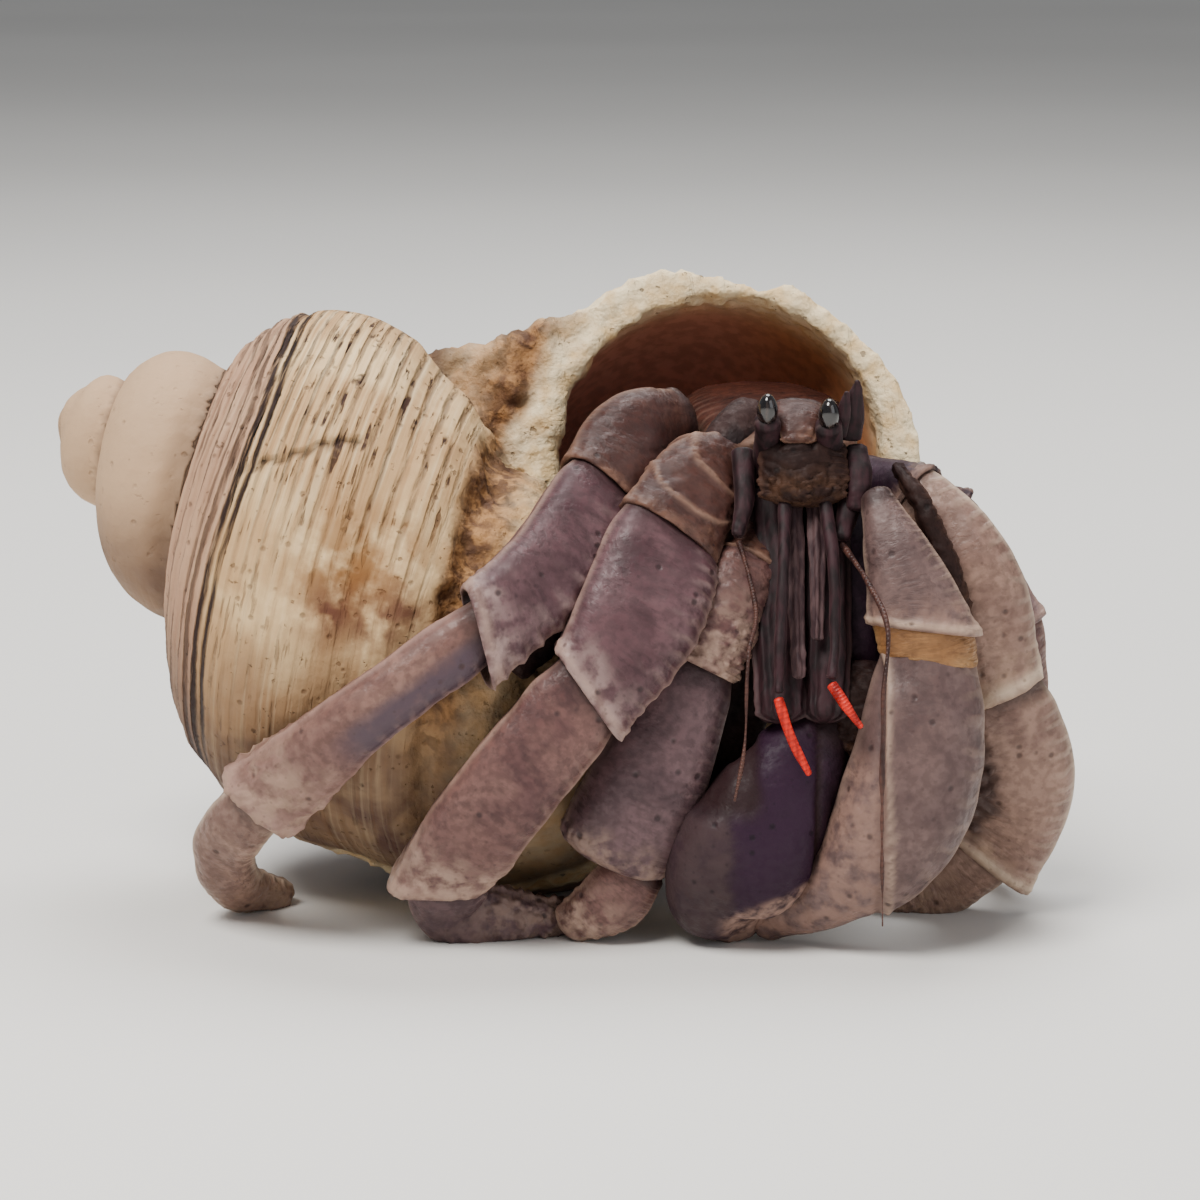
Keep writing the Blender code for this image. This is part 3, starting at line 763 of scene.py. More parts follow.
def blended(parts: Sequence[bmesh.types.BMesh], voxel: float) -> bmesh.types.BMesh:
    """Melt closed bodies, in millimetres, into one even skin.

    Args:
        parts: closed bodies; those after the first may overlap it.
        voxel: the new skin's grid size.

    Returns:
        The new mesh.
    """
    mesh = bpy.data.meshes.new("melt")
    joined = bmesh.new()
    for part in parts:
        part.to_mesh(mesh)
        joined.from_mesh(mesh)
        part.free()
    item = linked("melt", joined)
    melt = item.modifiers.new("melt", "REMESH")
    melt.mode = "VOXEL"
    melt.voxel_size = voxel
    return finished(item)


def carved(body: bmesh.types.BMesh, cutter: bmesh.types.BMesh) -> bmesh.types.BMesh:
    """Take one closed body out of another."""
    item = linked("body", body)
    cut = item.modifiers.new("cut", "BOOLEAN")
    cut.operation = "DIFFERENCE"
    cut.object = linked("cutter", cutter)
    return finished(item, cut.object)


# ---------------------------------------------------------------- the shell
@dataclass
class TurbanShell:
    """The spiral shell: one skin with whorls, cords, furrow, rough lip and throat."""

    start: Triple = (-49.9, 24.2, 44.0)
    droop: float = 24.0
    yaw: float = 8.0
    lean: float = 11.0
    rim_radius: float = 36.0
    rim_station: float = 61.0
    radius_growth: float = math.sqrt(2.0)
    length_growth: float = 1.36
    mouth_turn: float = 6.0
    first_turn: float = -1.0
    bulge: float = 0.235
    mouth_bulge: float = 0.066
    mouth_skew: float = 0.086
    mouth_dent: float = 0.07
    fullness: float = 0.85
    weld: float = 0.002
    smoothing: float = 0.5
    flatter_from: float = 5.2
    steps: int = 40
    rows: int = 28
    base_closed: tuple[Pair, ...] = ((12.3, 42.0), (7.3, 51.0), (4.2, 60.0), (2.2, 69.0), (0.0, 78.0))
    base_open: tuple[Pair, ...] = ((36.0, 69.5), (31.8, 76.5), (21.5, 80.5), (9.0, 80.5), (0.0, 78.0))
    base_mouth: tuple[Pair, ...] = ((33.8, 69.2), (29.4, 75.6), (21.0, 79.8), (9.0, 80.5), (0.0, 78.0))
    base_rows: int = 25
    lump_size: float = 3.6
    lump_height: float = 0.8
    mouth_centre: Pair = (19.1, 61.3)
    mouth_radius: float = 14.7
    hollow_from: float = 5.0
    wall_slack: float = 0.55
    mouth_reach: float = 7.0
    voxel: float = 0.52
    apex: tuple[float, float, float, float] = (1.5, 3.2, 7.2, 8.2)
    painted: tuple[str, ...] = ("turn", "across", "inside", "lip", "rough", "groove", "seam", "seamed",
                                "corded", "band", "grey", "ochre", "stain", "shaded_suture", "amber")
    seam_from: float = 0.47
    front_from: Pair = (3.95, 4.15)
    furrow_share: float = 1.33
    ochre_spots: tuple[tuple[float, Triple, float], ...] = ((1.0, (-17.5, -5.2, 32.0), 5.6),
                                                            (0.7, (-13.5, -4.0, 34.0), 4.0))
    stain_spots: tuple[tuple[float, Triple, float], ...] = (
        (0.9, (-19.3, -5.7, 29.2), 2.6), (0.9, (-15.6, -5.6, 28.3), 3.0), (0.9, (-13.2, -5.3, 29.4), 2.4))
    axis: Vector = field(init=False)
    upward: Vector = field(init=False)
    frontward: Vector = field(init=False)

    def __post_init__(self) -> None:
        """Work out the shell's own axes."""
        droop = math.radians(self.droop)
        lean = Matrix.Rotation(-math.radians(self.lean), 3, "X")
        axis = lean @ Vector((math.cos(droop), 0.0, -math.sin(droop)))
        self.upward = lean @ Vector((math.sin(droop), 0.0, math.cos(droop)))
        yaw = Matrix.Rotation(-math.radians(self.yaw), 3, self.upward)
        self.axis = yaw @ axis
        self.frontward = yaw @ (lean @ FRONT)

    def outward(self, turn: float) -> Vector:
        """The way out from the axis at a half turn."""
        angle = (turn - self.mouth_turn) * math.pi
        return self.upward * math.cos(angle) + self.frontward * math.sin(angle)

    def point(self, turn: float, radius: float, station: float) -> Vector:
        """Place a point given by its half turn, radius and distance along the axis."""
        return Vector(self.start) + self.axis * station + self.outward(turn) * radius

    def polar(self, point: Vector) -> tuple[float, float, float, float]:
        """Station, radius, reach to the front and share of a half turn from the top of a point."""
        away = point - Vector(self.start)
        high = away.dot(self.upward)
        ahead = away.dot(self.frontward)
        return away.dot(self.axis), math.hypot(high, ahead), ahead, math.atan2(ahead, high) / math.pi

    def passage(self, back: float) -> tuple[float, float, float]:
        """Radius and station of the winding passage's centre, and its own radius.

        Args:
            back: half turns from the mouth, 0 or less.

        Returns:
            The three sizes, in millimetres.
        """
        return (self.mouth_centre[0] * self.radius_growth ** back,
                self.mouth_centre[1] * self.length_growth ** back,
                self.mouth_radius * (self.radius_growth * self.length_growth) ** (back / 2.0))

    def periphery(self, turn: float) -> Pair:
        """Radius and station of the whorl's widest line at a half turn."""
        back = turn - self.mouth_turn
        return self.rim_radius * self.radius_growth ** back, self.rim_station * self.length_growth ** back

    def flatness(self, turn: float) -> float:
        """Share of the way from the round whorls to the flatter form of the mouth."""
        return max(turn - self.flatter_from, 0.0) / (self.mouth_turn - self.flatter_from)

    def whorl_line(self, turn: float) -> list[Vector]:
        """The bulged line from the whorl before down to this whorl's periphery."""
        start = self.periphery(max(turn - 2.0, self.first_turn))
        end = self.periphery(turn)
        across = (end[0] - start[0], end[1] - start[1])
        flat = self.flatness(turn)
        height = self.bulge + (self.mouth_bulge - self.bulge) * flat
        line = []
        for row in range(self.rows + 1):
            share = row / self.rows
            bulge = (height * math.sin(math.pi * share) ** self.fullness
                     - self.mouth_skew * flat * math.sin(2.0 * math.pi * share)
                     - self.mouth_dent * flat * math.sin(math.pi * share ** 4))
            line.append(self.point(turn, start[0] + across[0] * share + across[1] * bulge,
                                   start[1] + across[1] * share - across[0] * bulge))
        return line

    def base_line(self, turn: float) -> list[Vector]:
        """The line from the last whorl's periphery round the base to the axis."""
        share = (turn - self.mouth_turn + 2.0) / 2.0
        corners = [Vector((*self.periphery(turn), 0.0))]
        flat = self.flatness(turn)
        for closed, opened, mouth in zip(self.base_closed, self.base_open, self.base_mouth):
            corners.append(Vector([a + (b - a) * share + (c - b) * flat
                                   for a, b, c in zip(closed, opened, mouth)] + [0.0]))
        spots = [curve(corners, row / self.base_rows) for row in range(self.base_rows + 1)]
        return [self.point(turn, max(spot.x, 0.0), spot.y) for spot in spots]

    def outside(self) -> bmesh.types.BMesh:
        """The closed outer form, its mouth still a flat wall."""
        turns = [self.first_turn + step / self.steps
                 for step in range(round((self.mouth_turn - self.first_turn) * self.steps) + 1)]
        whorl = Skin(())
        whorl.begin(self.whorl_line(turns[0]), closed=False)
        for turn in turns[1:]:
            whorl.grow(self.whorl_line(turn))
        bm = whorl.bm
        base = Skin((), bm)
        based = [turn for turn in turns if turn >= self.mouth_turn - 2.0]
        base.begin(self.base_line(based[0]), closed=False)
        for turn in based[1:]:
            base.grow(self.base_line(turn))
        bmesh.ops.remove_doubles(bm, verts=bm.verts[:], dist=self.weld)
        rims = [edge for edge in bm.edges if edge.is_boundary]
        bmesh.ops.holes_fill(bm, edges=rims, sides=0)
        bmesh.ops.triangulate(bm, faces=[face for face in bm.faces if len(face.verts) > 4])
        bmesh.ops.recalc_face_normals(bm, faces=bm.faces[:])
        return bm

    def throat(self, sides: int = 48, steps: int = 30) -> bmesh.types.BMesh:
        """Cutter for the mouth and the last winding passage."""
        skin = Skin(())
        for step in range(-1, steps + 1):
            turn = self.mouth_turn + (self.hollow_from - self.mouth_turn) * max(step, 0) / steps
            outward = self.outward(turn)
            away, station, radius = self.passage(turn - self.mouth_turn)
            centre = self.point(turn, away, station)
            if step < 0:
                centre = centre + self.frontward * self.mouth_reach
            angles = [FULL_TURN * side / sides for side in range(sides)]
            ring = [centre + radius * (outward * math.cos(a) + self.axis * math.sin(a)) for a in angles]
            if step < 0:
                skin.begin(ring)
                first = list(skin.last)
            else:
                skin.grow(ring)
        skin.pinch()
        bmesh.ops.contextual_create(skin.bm, geom=first)
        bmesh.ops.recalc_face_normals(skin.bm, faces=skin.bm.faces[:])
        return skin.bm

    def locate(self, point: Vector) -> tuple[float, float, float, float]:
        """Read where a point lies on the spiral.

        Args:
            point: a point in the crab's millimetres.

        Returns:
            Half turn, share across the whorl (over 1 on the base), station and radius.
        """
        station, radius, _, back = self.polar(point)
        turn = self.mouth_turn + back
        while turn > self.mouth_turn + 0.02:
            turn -= 2.0
        most = math.inf                     # the outermost whorl goes on round the base, past 1
        while turn > self.first_turn + 0.5:
            start = self.periphery(turn - 2.0)
            end = self.periphery(turn)
            chord = (end[0] - start[0], end[1] - start[1])
            along = (radius - start[0]) * chord[0] + (station - start[1]) * chord[1]
            share = along / math.hypot(*chord) ** 2
            if share > 0.0:
                return turn, min(share, most), station, radius
            turn -= 2.0
            most = 1.0
        return turn, 0.5, station, radius

    def depth_inside(self, point: Vector) -> float:
        """How far round the throat a point lies: 0 outside it, up to 1 at its end."""
        station, radius, _, back = self.polar(point)
        if back > 0.5:
            back -= 2.0
        if back < self.hollow_from - self.mouth_turn - 0.1:
            return 0.0
        inner = min(back, 0.0)
        centre_radius, centre_station, reach = self.passage(inner)
        if back > 0.0:
            off = point - self.point(self.mouth_turn, *self.mouth_centre)
            gap = (off - self.frontward * off.dot(self.frontward)).length
        else:
            gap = math.hypot(radius - centre_radius, station - centre_station)
        return 0.0 if gap > reach + self.wall_slack else 0.03 + min(-inner, 0.97)

    def sculpt(self, bm: bmesh.types.BMesh) -> None:
        """Work the cords, furrow, lip and wear into the skin and paint its marks."""
        layers = {name: bm.verts.layers.float.new(name) for name in self.painted}
        bm.normal_update()
        moves = []
        for vertex in bm.verts:
            spot = vertex.co
            turn, across, station, radius = self.locate(spot)
            inside = self.depth_inside(spot)
            marks = self.marks(spot, turn, across, station, inside)
            for name, value in marks.items():
                vertex[layers[name]] = value
            height, reach, *stations = self.apex
            dome = height * max(1.0 - (radius / reach) ** 2, 0.0) * fall(*stations, station)
            moves.append(vertex.normal * self.relief(spot, turn, across, marks) - self.axis * dome)
        for vertex, move in zip(bm.verts, moves):
            vertex.co += move

    def marks(self, spot: Vector, turn: float, across: float, station: float, inside: float) -> Marks:
        """Painted values of one point of the shell, placed by its half turn, share across and station."""
        ahead = self.polar(spot)[2]
        in_front = rise(*self.front_from, turn) * fall(4.85, 5.1, turn)
        ragged = across + 0.025 * lumps(spot, 2.5)
        rough = rise(1.24, 1.30, ragged) * in_front
        near_mouth = rise(5.62, 5.92, turn)
        wall = fall(0.6, 2.6, abs(ahead)) * rise(33.0, 42.0, station)
        left_wall = wall * fall(42.5, 45.0, station + 1.2 * lumps(spot, 3.0))
        lip = max(near_mouth * rise(0.15, 0.4, across), wall * (1.0 if turn > 4.9 else 0.4))
        lip *= 1.0 - left_wall
        if inside:
            lip *= fall(0.05, 0.12, inside)
        callus = rise(1.36, 1.44, ragged) * in_front
        lip = max(lip, 0.25 * callus)
        rough = max(rough * (1.0 - 0.35 * callus), left_wall, 0.8 * near_mouth * fall(0.08, 0.24, across))
        rough *= 0.25 + 0.75 * rise(14.0, 24.0, spot.z)
        seam = self.seam_from + 0.075 * hump(4.45, 0.2, turn) + 0.075 * rise(4.5, 4.8, turn)
        seamed = rise(2.9, 3.5, turn) * fall(5.2, 5.4, turn) * fall(0.7, 0.8, across)
        # painted shade along the sutures, wider under the second whorl; the same mark also sinks the surface
        # there
        shaded_suture = 0.0
        if across < 0.12 and turn > 0.2:
            shaded_suture = fall(0.0, 0.08, across) * (1.0 if turn > 3.0 else 0.6)
        if across > 0.75 and turn < 3.9:
            shaded_suture = max(shaded_suture, rise(0.96, 1.0, across) * (0.9 if turn > 2.0 else 0.7))
            shaded = hump(2.6, 0.45, turn) * rise(0.78, 1.0, across + 0.04 * lumps(spot, 2.0))
            shaded_suture = max(shaded_suture, 0.55 * shaded)
        crack = 0.0
        if 4.3 < turn < 4.5 and 0.5 < across < 0.95:
            line = 4.47 - 0.23 * (across - 0.55) + 0.012 * lumps(spot, 1.4)
            crack = 0.75 * hump(line, 0.006, turn)
        # painted shade, carried by the grey mark: darker towards the bottom of the shell and under the second
        # whorl
        low = fall(12.0, 31.0, spot.z + 3.0 * lumps(spot, 7.0))
        low = max(low, 0.8 * fall(29.0, 38.0, spot.z) * rise(1.2, 2.2, turn) * fall(3.4, 3.8, turn))
        ochre, stain = (max(most * hump(0.0, reach, (spot - Vector(centre)).length)
                            for most, centre, reach in spots)
                        for spots in (self.ochre_spots, self.stain_spots))
        corded = fall(1.20, 1.28, across) * (1.0 - 0.75 * rise(4.38, 4.62, turn))
        band = rise(3.2, 3.9, turn) * fall(seam - 0.06, seam, across)
        amber = hump(0.03, 0.16, inside) * (0.35 + 0.65 * rise(12.0, 22.0, spot.x)) if inside else 0.0
        return {"turn": turn, "across": across, "inside": inside, "lip": lip, "rough": rough,
                "groove": crack, "seam": across - seam, "seamed": seamed,
                "corded": corded * (1.0 - 0.55 * band), "band": band, "grey": low, "ochre": ochre,
                "stain": stain,
                "shaded_suture": shaded_suture, "amber": amber}

    def relief(self, spot: Vector, turn: float, across: float, marks: Marks) -> float:
        """How far the surface stands out of the plain form at one point."""
        if marks["inside"] > 0.08:
            return 0.05 * lumps(spot, 6.0)
        size = min(self.radius_growth ** (turn - 5.0), 1.2)
        height = 0.16 * size * lumps(spot, 5.0) + 0.06 * lumps(spot, 1.3)
        height -= 0.3 * marks["groove"] + 0.35 * marks["seamed"] * hump(0.0, 0.03, marks["seam"])
        height -= 0.6 * marks["shaded_suture"]
        height += 0.16 * marks["band"] * math.sin(across * 62.0 + 1.2 * noise.noise(spot / 9.0))
        front = rise(*self.front_from, turn) * fall(4.7, 5.0, turn)
        if across > 1.0:
            height += 0.55 * front * hump(1.17, 0.06, across)
            height -= 1.3 * front * hump(self.furrow_share, 0.045, across)
            height += 0.9 * front * hump(1.46, 0.05, across)
        rough = marks["rough"]
        broken = self.lump_height * noise.noise(spot / self.lump_size) + 0.6 * rough_lumps(spot, 1.9)
        height += rough * broken
        calm = 1.0 - 0.55 * rise(14.0, 24.0, spot.x)
        height += calm * marks["lip"] * (0.40 * rough_lumps(spot, 3.0) + 0.28 * rough_lumps(spot, 1.4, 3))
        height += 1.0 * rise(5.7, 5.92, turn) * hump(0.25, 0.14, across)
        return height

    def build(self) -> bpy.types.Object:
        """Make and dress the shell.

        Returns:
            The finished piece.
        """
        bm = blended([carved(self.outside(), self.throat())], self.voxel)
        bmesh.ops.smooth_vert(bm, verts=bm.verts[:], factor=self.smoothing, use_axis_x=True, use_axis_y=True,
                              use_axis_z=True)
        self.sculpt(bm)
        for vertex in bm.verts:
            vertex.co.z = max(vertex.co.z, 0.0)
        return seat(to_piece(bm, "turban_shell", ShellFinish().make()), ["shell"], "shell")


# ---------------------------------------------------------------- limbs
class End(Enum):
    """How a limb piece ends towards the foot."""

    COLLAR = "collar"
    ROUND = "round"
    TIP = "tip"


@dataclass(frozen=True)
class Plate:
    """One armoured piece of a limb, in the crab's millimetres.

    start_way and end_way turn the first and last rings into the plane of a joint; slants shear
    those rings along the piece, by a share of the distance across it.
    """

    node: str
    centres: tuple[Triple, ...]
    sizes: tuple[Pair, ...]
    end: End = End.COLLAR
    square: float = 2.7
    ridge: float = 0.22
    grain: float = 0.10
    worn_from: float = 0.72
    scales: float = 0.0
    slants: Pair = (0.0, 0.0)
    neck: float = 1.0
    collar: float = 0.7
    bands: tuple[float, ...] = ()
    wrinkled: float = 0.0
    flutes: float = 0.0
    dents: tuple[tuple[Triple, Triple], ...] = ()
    stripe: Pair | None = None
    solid: bool = True
    broad: Triple = (0.0, -1.0, 0.0)
    sides: int = 72
    rows: int = 56
    start_way: Triple | None = None
    end_way: Triple | None = None

    def frame(self, share: float) -> tuple[Vector, Vector, Vector, Vector]:
        """Centre, way along, way across and way out of the broad side at a share of its length."""
        spots = [Vector(centre) for centre in self.centres]
        centre = curve(spots, share)
        ahead, behind = min(share + TANGENT, 1.0), max(share - TANGENT, 0.0)
        along = (curve(spots, ahead) - curve(spots, behind)).normalized()
        for way, nearness in ((self.start_way, fall(0.0, 0.35, share)),
                              (self.end_way, rise(0.65, 1.0, share))):
            if way is not None:
                along = along.lerp(Vector(way), nearness).normalized()
        across = Vector(self.broad).cross(along).normalized()
        return centre, along, across, along.cross(across)

    def size(self, share: float) -> Vector:
        """Half width and half depth at a share of its length."""
        size = curve([Vector((width, depth, 0.0)) for width, depth in self.sizes], share)
        return size * (self.neck + (1.0 - self.neck) * rise(0.0, 0.16, share))

    def outline(self, angle: float, size: Vector) -> Pair:
        """How far the plain section reaches across and out at an angle."""
        power = 2.0 / self.square
        return rounded(math.cos(angle), power) * size.x, rounded(math.sin(angle), power) * size.y

    def relief(self, spot: Vector, angle: float, share: float) -> tuple[float, Marks]:
        """Height of the surface's own relief and its painted values at one point.

        Args:
            spot: the point on the plain form.
            angle: its angle round the piece.
            share: its place along the piece.

        Returns:
            The height, in millimetres, and the marks.
        """
        edge = max(hump(0.20, 0.16, angle), hump(math.pi - 0.20, 0.16, angle))
        collar = self.collar * hump(0.965, 0.03, share) if self.end is End.COLLAR else 0.0
        worn = rise(self.worn_from, 1.0, share + 0.10 * lumps(spot, 2.0))
        row = math.sin(share * 74.0 + 2.6 * math.cos(angle) + 1.8 * lumps(spot, 2.4))
        # scale crests: real ridges; their share of the worn mark is a painted highlight, glints on the crests
        scale = (self.scales * rise(0.0, 0.9, row)
                 * rise(-0.1, 0.85, math.cos(angle) + 0.3 * lumps(spot, 1.6)))
        bend = 0.16 * math.cos(angle) ** 2 + 0.03 * lumps(spot, 3.0)
        band = max((hump(middle - bend, 0.016, share) for middle in self.bands), default=0.0)
        folds = abs(noise.noise(Vector((spot.x * 0.45, spot.y * 0.45, spot.z * 0.9))))
        fold = self.wrinkled * (1.0 - folds * 5.0)
        height = (self.ridge * (edge * 0.9 + collar) + 0.16 * lumps(spot, 2.6) + 0.30 * scale + 0.22 * band
                  - 0.35 * max(fold, 0.0) + self.grain * (0.25 + 1.6 * worn) * grains(spot, 0.8))
        if self.flutes:
            waver = lumps(Vector((angle * 2.0, 0.0, share * 6.0)), 1.0)
            height += 0.14 * math.sin(angle * self.flutes + 1.6 * waver)
        dent = 0.0
        # dents: real hollows, darkened with painted shade through hollow
        for middle, reach in self.dents:
            away = Vector([(a - b) / c for a, b, c in zip(spot, middle, reach)]).length
            away += 0.25 * lumps(spot, 1.2)
            dent = max(dent, fall(0.55, 1.0, away))
        height += dent * (0.9 * grains(spot, 0.9) - 0.3)
        striped = 0.0
        if self.stripe:
            edge_at, ends_at = self.stripe
            striped = rise(edge_at - 0.08, edge_at + 0.08, math.cos(angle) + 0.08 * lumps(spot, 2.0))
            striped *= fall(ends_at - 0.1, ends_at + 0.06, share)
            height -= 0.25 * striped
        # hollow is painted shade near the inner joint and over the dents
        return height, {"along": share, "side": math.cos(angle),
                        "rim": min(edge * 0.6 + collar + 0.8 * band, 1.0),
                        "worn": max(worn, 0.7 * scale), "stripe": striped,
                        "hollow": max(0.75 * fall(0.02, 0.13, share), 0.75 * dent)}

    def ring(self, share: float, scale: float, shift: float, plain: bool = False) -> tuple[Ring, list[Marks]]:
        """Points and marks of one ring.

        Args:
            share: place along the piece.
            scale: size against the full section there.
            shift: how far the ring is moved along the piece, in millimetres.
            plain: leaves out relief, for rings inside a joint.

        Returns:
            The ring's points and their painted values.
        """
        centre, along, across, out = self.frame(share)
        size = self.size(share) * scale
        shear = (self.slants[0] * fall(0.0, 0.45, share)
                 + self.slants[1] * rise(0.55, 1.0, share))
        points = []
        marks = []
        for side in range(self.sides):
            angle = FULL_TURN * side / self.sides
            x, y = self.outline(angle, size)
            spot = centre + across * x + out * y + along * (shift + shear * x)
            if plain:
                # rings inside a joint lie wholly in painted shade
                blank = dict.fromkeys(Skin.MARKS, 0.0)
                marks.append({**blank, "along": share, "side": math.cos(angle), "hollow": 1.0})
            else:
                height, values = self.relief(spot, angle, share)
                away = across * (x / max(size.x, 0.01) ** 2) + out * (y / max(size.y, 0.01) ** 2)
                spot = spot + away.normalized() * (height * min(scale * 1.2, 1.0))
                marks.append(values)
            points.append(spot)
        return points, marks

    def plan(self) -> list[tuple[float, float, float, bool]]:
        """Share, scale, shift and plainness of each ring, from the inner end to the foot end."""
        depth = self.size(0.0).y * 0.45
        plan = [(0.0, math.cos(a), -math.sin(a) * depth, False) for a in reversed(DOME)]
        plan += [(row / self.rows, 1.0, 0.0, False) for row in range(self.rows + 1)]
        depth = self.size(1.0).y
        if self.end is End.COLLAR:
            return plan + [(1.0, 0.95, 0.12, False), (1.0, 0.89, 0.02, True), (1.0, 0.84, -depth * 0.2, True),
                           (1.0, 0.35, -depth * 0.25, True)]
        reach = 0.55 if self.end is End.ROUND else 1.0
        return plan + [(1.0, math.cos(a), math.sin(a) * depth * reach, False) for a in DOME]

    def mesh(self) -> bmesh.types.BMesh:
        """Grow the piece from its inner end to its foot end.

        Returns:
            A closed mesh in the crab's millimetres.
        """
        bm = Skin.closed_body(self.ring(*step) for step in self.plan()).bm
        for vertex in bm.verts:
            vertex.co.z = max(vertex.co.z, 0.0)
        return bm

    def core(self, fill: float = 0.6, steps: int = 10, sides: int = 16) -> bmesh.types.BMesh:
        """A plain soft core inside the piece, a share as thick, for the skin that shows in the joints."""
        rings = []
        for step in range(-2, steps + 3):
            share = min(max(step / steps, 0.0), 1.0)
            centre, along, across, out = self.frame(share)
            size = self.size(share) * fill
            centre = centre + along * ((step / steps - share) * 3.0)
            rings.append(oval(centre, across, out, size.x, size.y, sides))
        return plain_body(rings)

    def build(self, finish: bpy.types.Material, slot: str) -> bpy.types.Object:
        """Make the piece and let it stand for its node.

        Args:
            finish: the material.
            slot: passed on to seat, which does not use it.

        Returns:
            The finished piece.
        """
        name, nodes = (self.node + "_plate", [self.node]) if self.solid else (self.node, [])
        return seat(to_piece(self.mesh(), name, finish), nodes, slot)


@dataclass(frozen=True)
class ClawPalm(Plate):
    """The larger claw's palm: a raised, rimmed face beside a smoother pale band, with painted shade in the
    groove at the face's edge.
    """

    face_edge: float = 26.6
    face_low: float = 3.0

    def relief(self, spot: Vector, angle: float, share: float) -> tuple[float, Marks]:
        """Height and marks, with the face and the band worked in."""
        height, marks = super().relief(spot, angle, share)
        front = rise(0.0, 0.35, math.sin(angle))
        across = spot.x - self.face_edge - 0.35 * lumps(spot, 7.0)
        face = front * rise(-0.25, 0.25, across) * rise(self.face_low, self.face_low + 1.0, spot.z)
        line = front * hump(0.3, 0.28, across) * rise(self.face_low, self.face_low + 1.0, spot.z)
        gap = front * hump(-0.35, 0.3, across)
        marks["rim"] = max(marks["rim"] * (0.35 + 0.65 * face), 0.75 * line)
        marks["worn"] = max(marks["worn"], 0.75 * front * (1.0 - face) * rise(0.25, 0.4, share))
        # painted shade in the groove beside the face's edge, through hollow
        marks["hollow"] = max(marks["hollow"] * (1.0 - front), 0.35 * gap)
        return height + 0.32 * face + 0.22 * line - 0.18 * gap, marks


@dataclass(frozen=True)
class ClawFinger(Plate):
    """The larger claw's moving finger: a seam splits it, darkened with painted shade, its upper inner corner
    carries painted shade, and its outer side is grey.
    """

    seam: float = 21.2
    grey_from: float = 14.0

    def relief(self, spot: Vector, angle: float, share: float) -> tuple[float, Marks]:
        """Height and marks, with the seam and the grey side worked in."""
        height, marks = super().relief(spot, angle, share)
        front = rise(0.0, 0.35, math.sin(angle))
        across = spot.x - self.seam - 0.3 * lumps(spot, 6.0)
        line = front * hump(0.0, 0.28, across)
        grey = fall(-0.3, 0.3, spot.x - self.grey_from + 0.5 * lumps(spot, 3.0))
        step = front * hump(0.3, 0.3, spot.x - self.grey_from)
        marks["rim"] = max(grey, 0.15 * step)
        # painted shade on the finger's upper inner corner, under the gap above it; the seam line's darkness
        # is painted shade too
        shade = fall(15.4, 16.8, spot.x + 0.4 * lumps(spot, 2.0)) * rise(11.5, 13.5, spot.z)
        marks["rim"] *= 1.0 - shade
        marks["stripe"] = front * (1.0 - grey) * fall(-0.2, 0.1, across)
        marks["hollow"] = max(marks["hollow"], 0.95 * line, 0.9 * shade)
        bare = fall(-0.6, 0.5, spot.z - 3.6 - 0.43 * (spot.x - 13.5) + 0.4 * lumps(spot, 2.4))
        bare *= rise(12.2, 14.2, spot.x)
        marks["worn"] = max(marks["worn"], bare)
        for covered in ("rim", "stripe", "hollow"):
            marks[covered] *= 1.0 - bare
        return (height - 0.5 * line - 0.2 * front * rise(0.0, 0.5, across) + 0.25 * grey
                - 0.5 * shade), marks


@dataclass(frozen=True)
class ShieldPlate(Plate):
    """The hard shield over the front of the body: flatter ends, and relief along the broad side."""

    def plan(self) -> list[tuple[float, float, float, bool]]:
        """Share, scale, shift and plainness of each ring."""
        angles = (0.4, 0.8, 1.1, 1.45)
        return ([(0.0, math.cos(a), -math.sin(a), False) for a in reversed(angles)]
                + [(row / self.rows, 1.0, 0.0, False) for row in range(self.rows + 1)]
                + [(1.0, math.cos(a), math.sin(a) * 1.6, False) for a in angles])

    def ring(self, share: float, scale: float, shift: float, plain: bool = False) -> tuple[Ring, list[Marks]]:
        """Points and marks of one ring."""
        centre, along, across, out = self.frame(share)
        size = self.size(share) * scale
        points, marks = [], []
        for side in range(self.sides):
            angle = FULL_TURN * side / self.sides
            x, y = self.outline(angle, size)
            spot = centre + across * x + out * y + along * shift
            points.append(spot + out * (0.12 * lumps(spot, 2.4) + 0.06 * grains(spot, 0.9)))
            rim = max(hump(0.0, 0.05, share) * max(math.sin(angle), 0.0), 0.7 * hump(0.0, 0.2, angle),
                      0.7 * hump(math.pi, 0.2, angle))
            marks.append({"along": share, "side": math.cos(angle), "rim": rim})
        return points, marks


def jointed(plates: Sequence[Plate], overlap: float = 0.7) -> list[Plate]:
    """Bring the pieces of one limb together at their joints.

    Args:
        plates: the limb's pieces from the body to the foot.
        overlap: how far each piece starts inside the one before it, in millimetres.

    Returns:
        The same pieces with their ends and end rings turned to the joints.
    """
    joined = list(plates)
    for place_on in range(len(joined) - 1):
        inner, outer = joined[place_on], joined[place_on + 1]
        leaving = Vector(inner.centres[-1]) - Vector(inner.centres[-2])
        entering = Vector(outer.centres[1]) - Vector(outer.centres[0])
        way = (leaving.normalized() + entering.normalized()).normalized()
        middle = (Vector(inner.centres[-1]) + Vector(outer.centres[0])) / 2.0
        joined[place_on] = replace(inner, centres=inner.centres[:-1] + (tuple(middle + way * 0.25),),
                                   end_way=tuple(way))
        joined[place_on + 1] = replace(outer, centres=(tuple(middle - way * overlap),) + outer.centres[1:],
                                       start_way=tuple(way), neck=0.86)
    return joined


